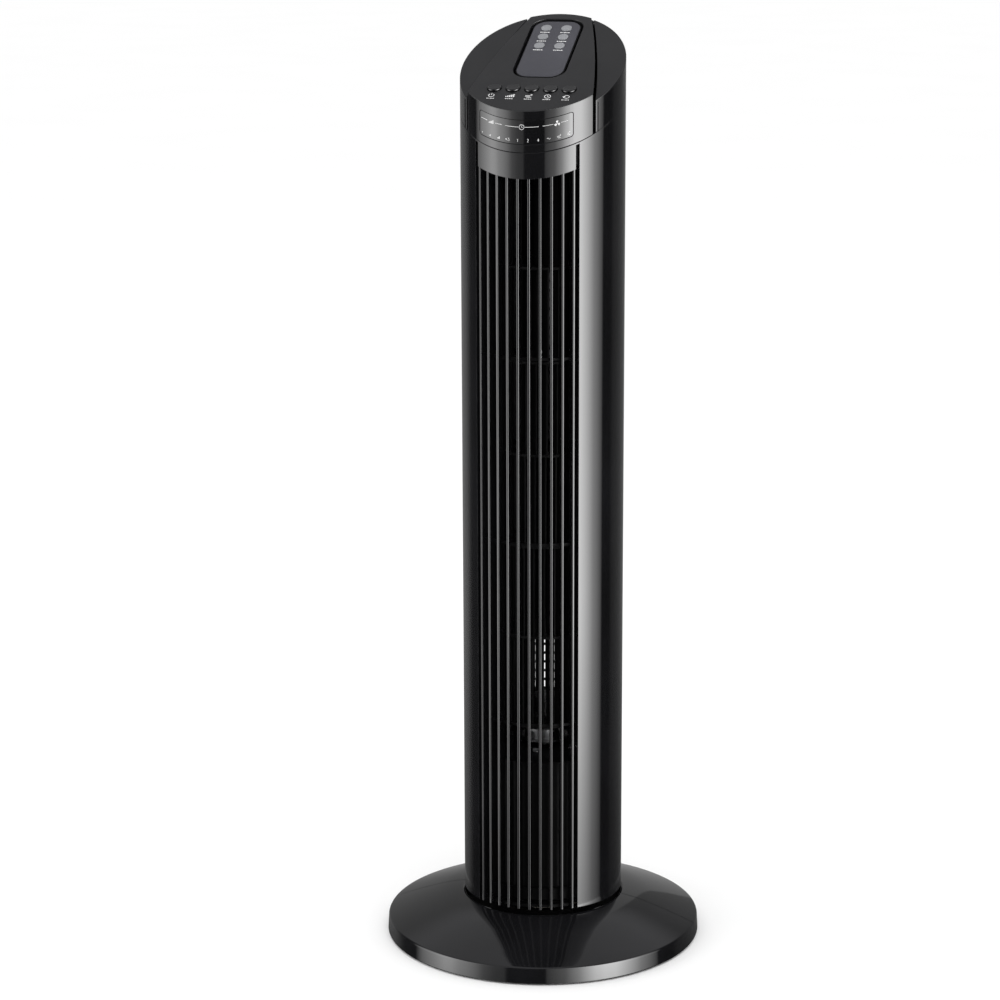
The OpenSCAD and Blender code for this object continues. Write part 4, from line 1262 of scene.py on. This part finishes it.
# Word -> (strokes as (points, closed), filled patches)
ICONS = {
    "power": ([(bow(1.8, 125, 415), False), ([(0, 0.4), (0, 2.3)], False)], []),
    "speed": ([], [bar(-2.4 + 1.2 * k, 1.0 + 0.62 * k) for k in range(5)]),
    "mode": ([(breeze(0.5, 1.2, 0.75), False), ([(-2.3, -0.6), (0.9, -0.6)], False),
              ([(-1.2, -1.7), (2.1, -1.7)], False)], []),
    "timer": ([(bow(2.0, 0, 345, 22), True), ([(0, 1.2), (0, 0), (0.9, -0.5)], False)], []),
    "swing": ([(bow(1.7, 200, 20, 12, (0.2, 0)), False), (bow(1.7, 20, -130, 10, (0.2, 0)), False)],
              [[(-2.5, 0.3), (-1.5, -1.3), (-0.4, 0.2)]]),
    "quiet": ([(bow(1.9, 60, 300, 16) + bow(1.5, 285, 75, 12, (0.95, 0)), True)], []),
    "wave": ([([(-2 + 0.4 * k, 0.8 * math.sin(k * 0.63)) for k in range(11)], False)], []),
    "blades": ([], [[(0, 0)] + bow(1.15, a - 55, a + 75, 8, bow(1.2, a, a, 2)[0]) for a in (90, 210, 330)]),
    "one": ([([(-0.5, 1.1), (0.1, 1.7), (0.1, -1.7)], False)], []),
    "two": ([([(-0.8, 1.0), (-0.4, 1.7), (0.4, 1.7), (0.8, 1.1), (0.7, 0.3), (-0.8, -1.7), (0.9, -1.7)],
              False)], []),
    "four": ([([(0.4, -1.7), (0.4, 1.7), (-1.0, -0.6), (1.0, -0.6)], False)], []),
    "half": ([(bow(0.75, 0, 340, 12, (-1.9, 0)), True),
              ([(2.0, 1.7), (0.8, 1.7), (0.7, 0.2), (1.6, 0.3), (2.0, -0.5), (1.6, -1.5), (0.7, -1.6)],
               False)],
             [bow(0.28, 0, 315, 8, (-0.4, -1.5))]),
    "low": ([], [bar(0, 1.3)]),
    "middle": ([], [bar(-0.6, 1.3), bar(0.6, 2.2)]),
    "high": ([], [bar(-1.2, 1.3), bar(0, 2.2), bar(1.2, 3.1)]),
}


def panel_prints():
    ink = Print(on_panel, width=0.5)
    for word, (x, u) in zip(BUTTONS, button_places()):
        ink.icon(word, (x, u - 11.2), 1.25)
        ink.caption((x, u - 15.8), (1.3, 0.8, 1.6, 1.1), 0.75)
    ink.finish("panel_symbols", "tower")


def display_prints():
    def on_window(s, h, lift):
        x, y = at(math.degrees(s / BODY_R), BODY_R - 0.1 + lift)
        return (x, y, plane_z(SEAM, -BODY_R * math.cos(s / BODY_R)) + h)

    def arc_length(angle):
        return math.radians(angle) * BODY_R

    ink = Print(on_window, width=0.3)
    line = DISPLAY_LOW + 14.0
    for a0, a1 in ((-33.0, -27.2), (-20.6, -15.4), (-12.6, -2.9), (1.4, 11.0), (13.6, 20.8), (26.2, 31.0)):
        ink.stroke([(arc_length(a0), line), (arc_length(a1), line)], width=0.32)
    for word, angle, scale in (("speed", -24.0, 0.85), ("timer", -0.75, 1.0), ("blades", 23.5, 1.0)):
        ink.icon(word, (arc_length(angle), line), scale)
    words = ("low", "middle", "high", "half", "one", "two", "four", "wave", "mode", "quiet")
    for i, word in enumerate(words):
        ink.icon(word, (arc_length(-32.0 + 7.1 * i), DISPLAY_LOW + 3.4), 0.68)
    ink.finish("display_symbols", "tower")


def remote_prints():
    def on_remote(x, u, lift):
        return on_panel(x, u, REMOTE_TOP + lift)

    ink = Print(on_remote, width=0.32)
    for word, x, u in key_places():
        ink.caption((x, u - 6.6), (1.3, 0.9, 1.6, 0.9, 1.3), 1.0)
    ink.finish("remote_symbols", "remote")


panel_prints()
display_prints()
remote_prints()

# ---------------------------------------------------------------- studio


def floor():
    shape = Shape()
    rings = [shape.loop([(x, y, 0) for x, y in circle(r, 96)]) for r in (0.001, 600, 3000, 40000)]
    shape.skin(rings[::-1])
    paper = Finish("studio_paper")
    cloud = paper.ranged(paper.noise(3.0), 0, 1)
    paper.colour(paper.mix(cloud, (0.935, 0.935, 0.935), (0.945, 0.945, 0.945)))
    paper.roughness(paper.ranged(paper.noise(9.0), 0.85, 0.95))
    paper.set(Specular_IOR_Level=0.0)
    obj = plain_object("studio_floor", shape, [paper.material])
    obj.visible_glossy = False


def studio_world():
    """White room for the camera and for soft light; cards and dark gaps only where gloss looks."""
    world = bpy.data.worlds.new("studio")
    bpy.context.scene.world = world
    world.use_nodes = True
    tree = world.node_tree
    tree.nodes.clear()

    def node(kind, values=(), **settings):
        made = tree.nodes.new(kind)
        for key, value in settings.items():
            setattr(made, key, value)
        for socket, value in values:
            made.inputs[socket].default_value = value
        return made

    def wire(source, out, target, socket):
        tree.links.new(source.outputs[out], target.inputs[socket])

    place = node("ShaderNodeTexCoord")
    split = node("ShaderNodeSeparateXYZ")
    wire(place, "Generated", split, 0)
    back = node("ShaderNodeMath", [(1, -1.0)], operation="MULTIPLY")
    wire(split, "Y", back, 0)
    angle = node("ShaderNodeMath", operation="ARCTAN2")
    wire(split, "X", angle, 0)
    wire(back, 0, angle, 1)
    turn = node("ShaderNodeMath", [(1, 1 / (2 * math.pi)), (2, 0.5)], operation="MULTIPLY_ADD")
    wire(angle, 0, turn, 0)
    walls = node("ShaderNodeValToRGB")
    ramp = walls.color_ramp
    # Brightness of the walls by direction: degrees from the front, towards +X
    stops = (
        (-180, 0.33), (-166, 0.32), (-157, 0.22), (-126, 0.28), (-118, 0.19), (-109, 0.05), (-93, 0.03),
        (-85, 1.5), (-73, 2.9), (-62, 4.4), (-56, 4.3), (-50, 3.3), (-43, 2.7), (-37, 2.0), (-30, 0.9),
        (-22, 0.5), (-14, 0.38), (-12, 0.02), (15.5, 0.02), (17, 0.5), (30, 1.3), (40, 3.6), (52, 8.9),
        (60, 10.5), (68, 10.3), (78, 7.0), (90, 3.0), (105.5, 0.6), (107, 0.02), (124, 0.02), (130, 0.09),
        (172, 0.18),
    )
    while len(ramp.elements) < len(stops):
        ramp.elements.new(0.5)
    for element, (degrees, value) in zip(ramp.elements, stops):
        element.position = (degrees + 180) / 360
        element.color = (value, value, value, 1)
    wire(turn, 0, walls, "Fac")
    fade = node("ShaderNodeMapRange", [("From Min", -0.37), ("From Max", -0.268), ("To Min", 0.35)])
    wire(split, "Z", fade, "Value")
    cards = node("ShaderNodeVectorMath", operation="SCALE")
    wire(walls, "Color", cards, "Vector")
    wire(fade, "Result", cards, "Scale")
    rise = node("ShaderNodeMapRange", [("From Min", 0.5), ("From Max", 0.68)],
                interpolation_type="SMOOTHSTEP")
    wire(split, "Z", rise, "Value")
    room = node("ShaderNodeMix", data_type="RGBA")
    room.inputs["B"].default_value = (0.42, 0.42, 0.43, 1)
    wire(rise, "Result", room, "Factor")
    wire(cards, "Vector", room, "A")
    path = node("ShaderNodeLightPath")
    seen = node("ShaderNodeMix", data_type="RGBA")
    seen.inputs["A"].default_value = (1.06, 1.06, 1.06, 1)
    wire(path, "Is Glossy Ray", seen, "Factor")
    wire(room, "Result", seen, "B")
    light = node("ShaderNodeBackground")
    wire(seen, "Result", light, "Color")
    output = node("ShaderNodeOutputWorld")
    wire(light, 0, output, "Surface")


def soft_light(name, place, size, power, target=(0, 0, 0.4)):
    data = bpy.data.lights.new(name, "AREA")
    data.shape = "DISK"
    data.size = size
    data.energy = power
    lamp = bpy.data.objects.new(name, data)
    lamp.location = place
    lamp.rotation_euler = (Vector(target) - Vector(place)).to_track_quat("-Z", "Y").to_euler()
    lamp.visible_glossy = False
    bpy.context.scene.collection.objects.link(lamp)


def camera():
    """The photograph's viewpoint: a little to the fan's left-hand side and above its middle."""
    around, pitch, away, height = math.radians(13.85), math.radians(13.33), 2.376, 0.943
    data = bpy.data.cameras.new("photo_view")
    data.sensor_width = 36.0
    data.lens = 104.7
    data.shift_x = -0.043
    data.clip_end = 60
    obj = bpy.data.objects.new("photo_view", data)
    obj.location = (math.sin(around) * away, -math.cos(around) * away, height)
    level = math.cos(pitch)
    ahead = Vector((-math.sin(around) * level, math.cos(around) * level, -math.sin(pitch)))
    obj.rotation_euler = ahead.to_track_quat("-Z", "Y").to_euler()
    bpy.context.scene.collection.objects.link(obj)
    bpy.context.scene.camera = obj


floor()
studio_world()
soft_light("soft_above", (0.4, -0.9, 2.6), 1.6, 12)
soft_light("soft_left", (-1.8, -1.2, 1.2), 1.2, 6)
camera()
bpy.context.scene.view_settings.view_transform = "Standard"
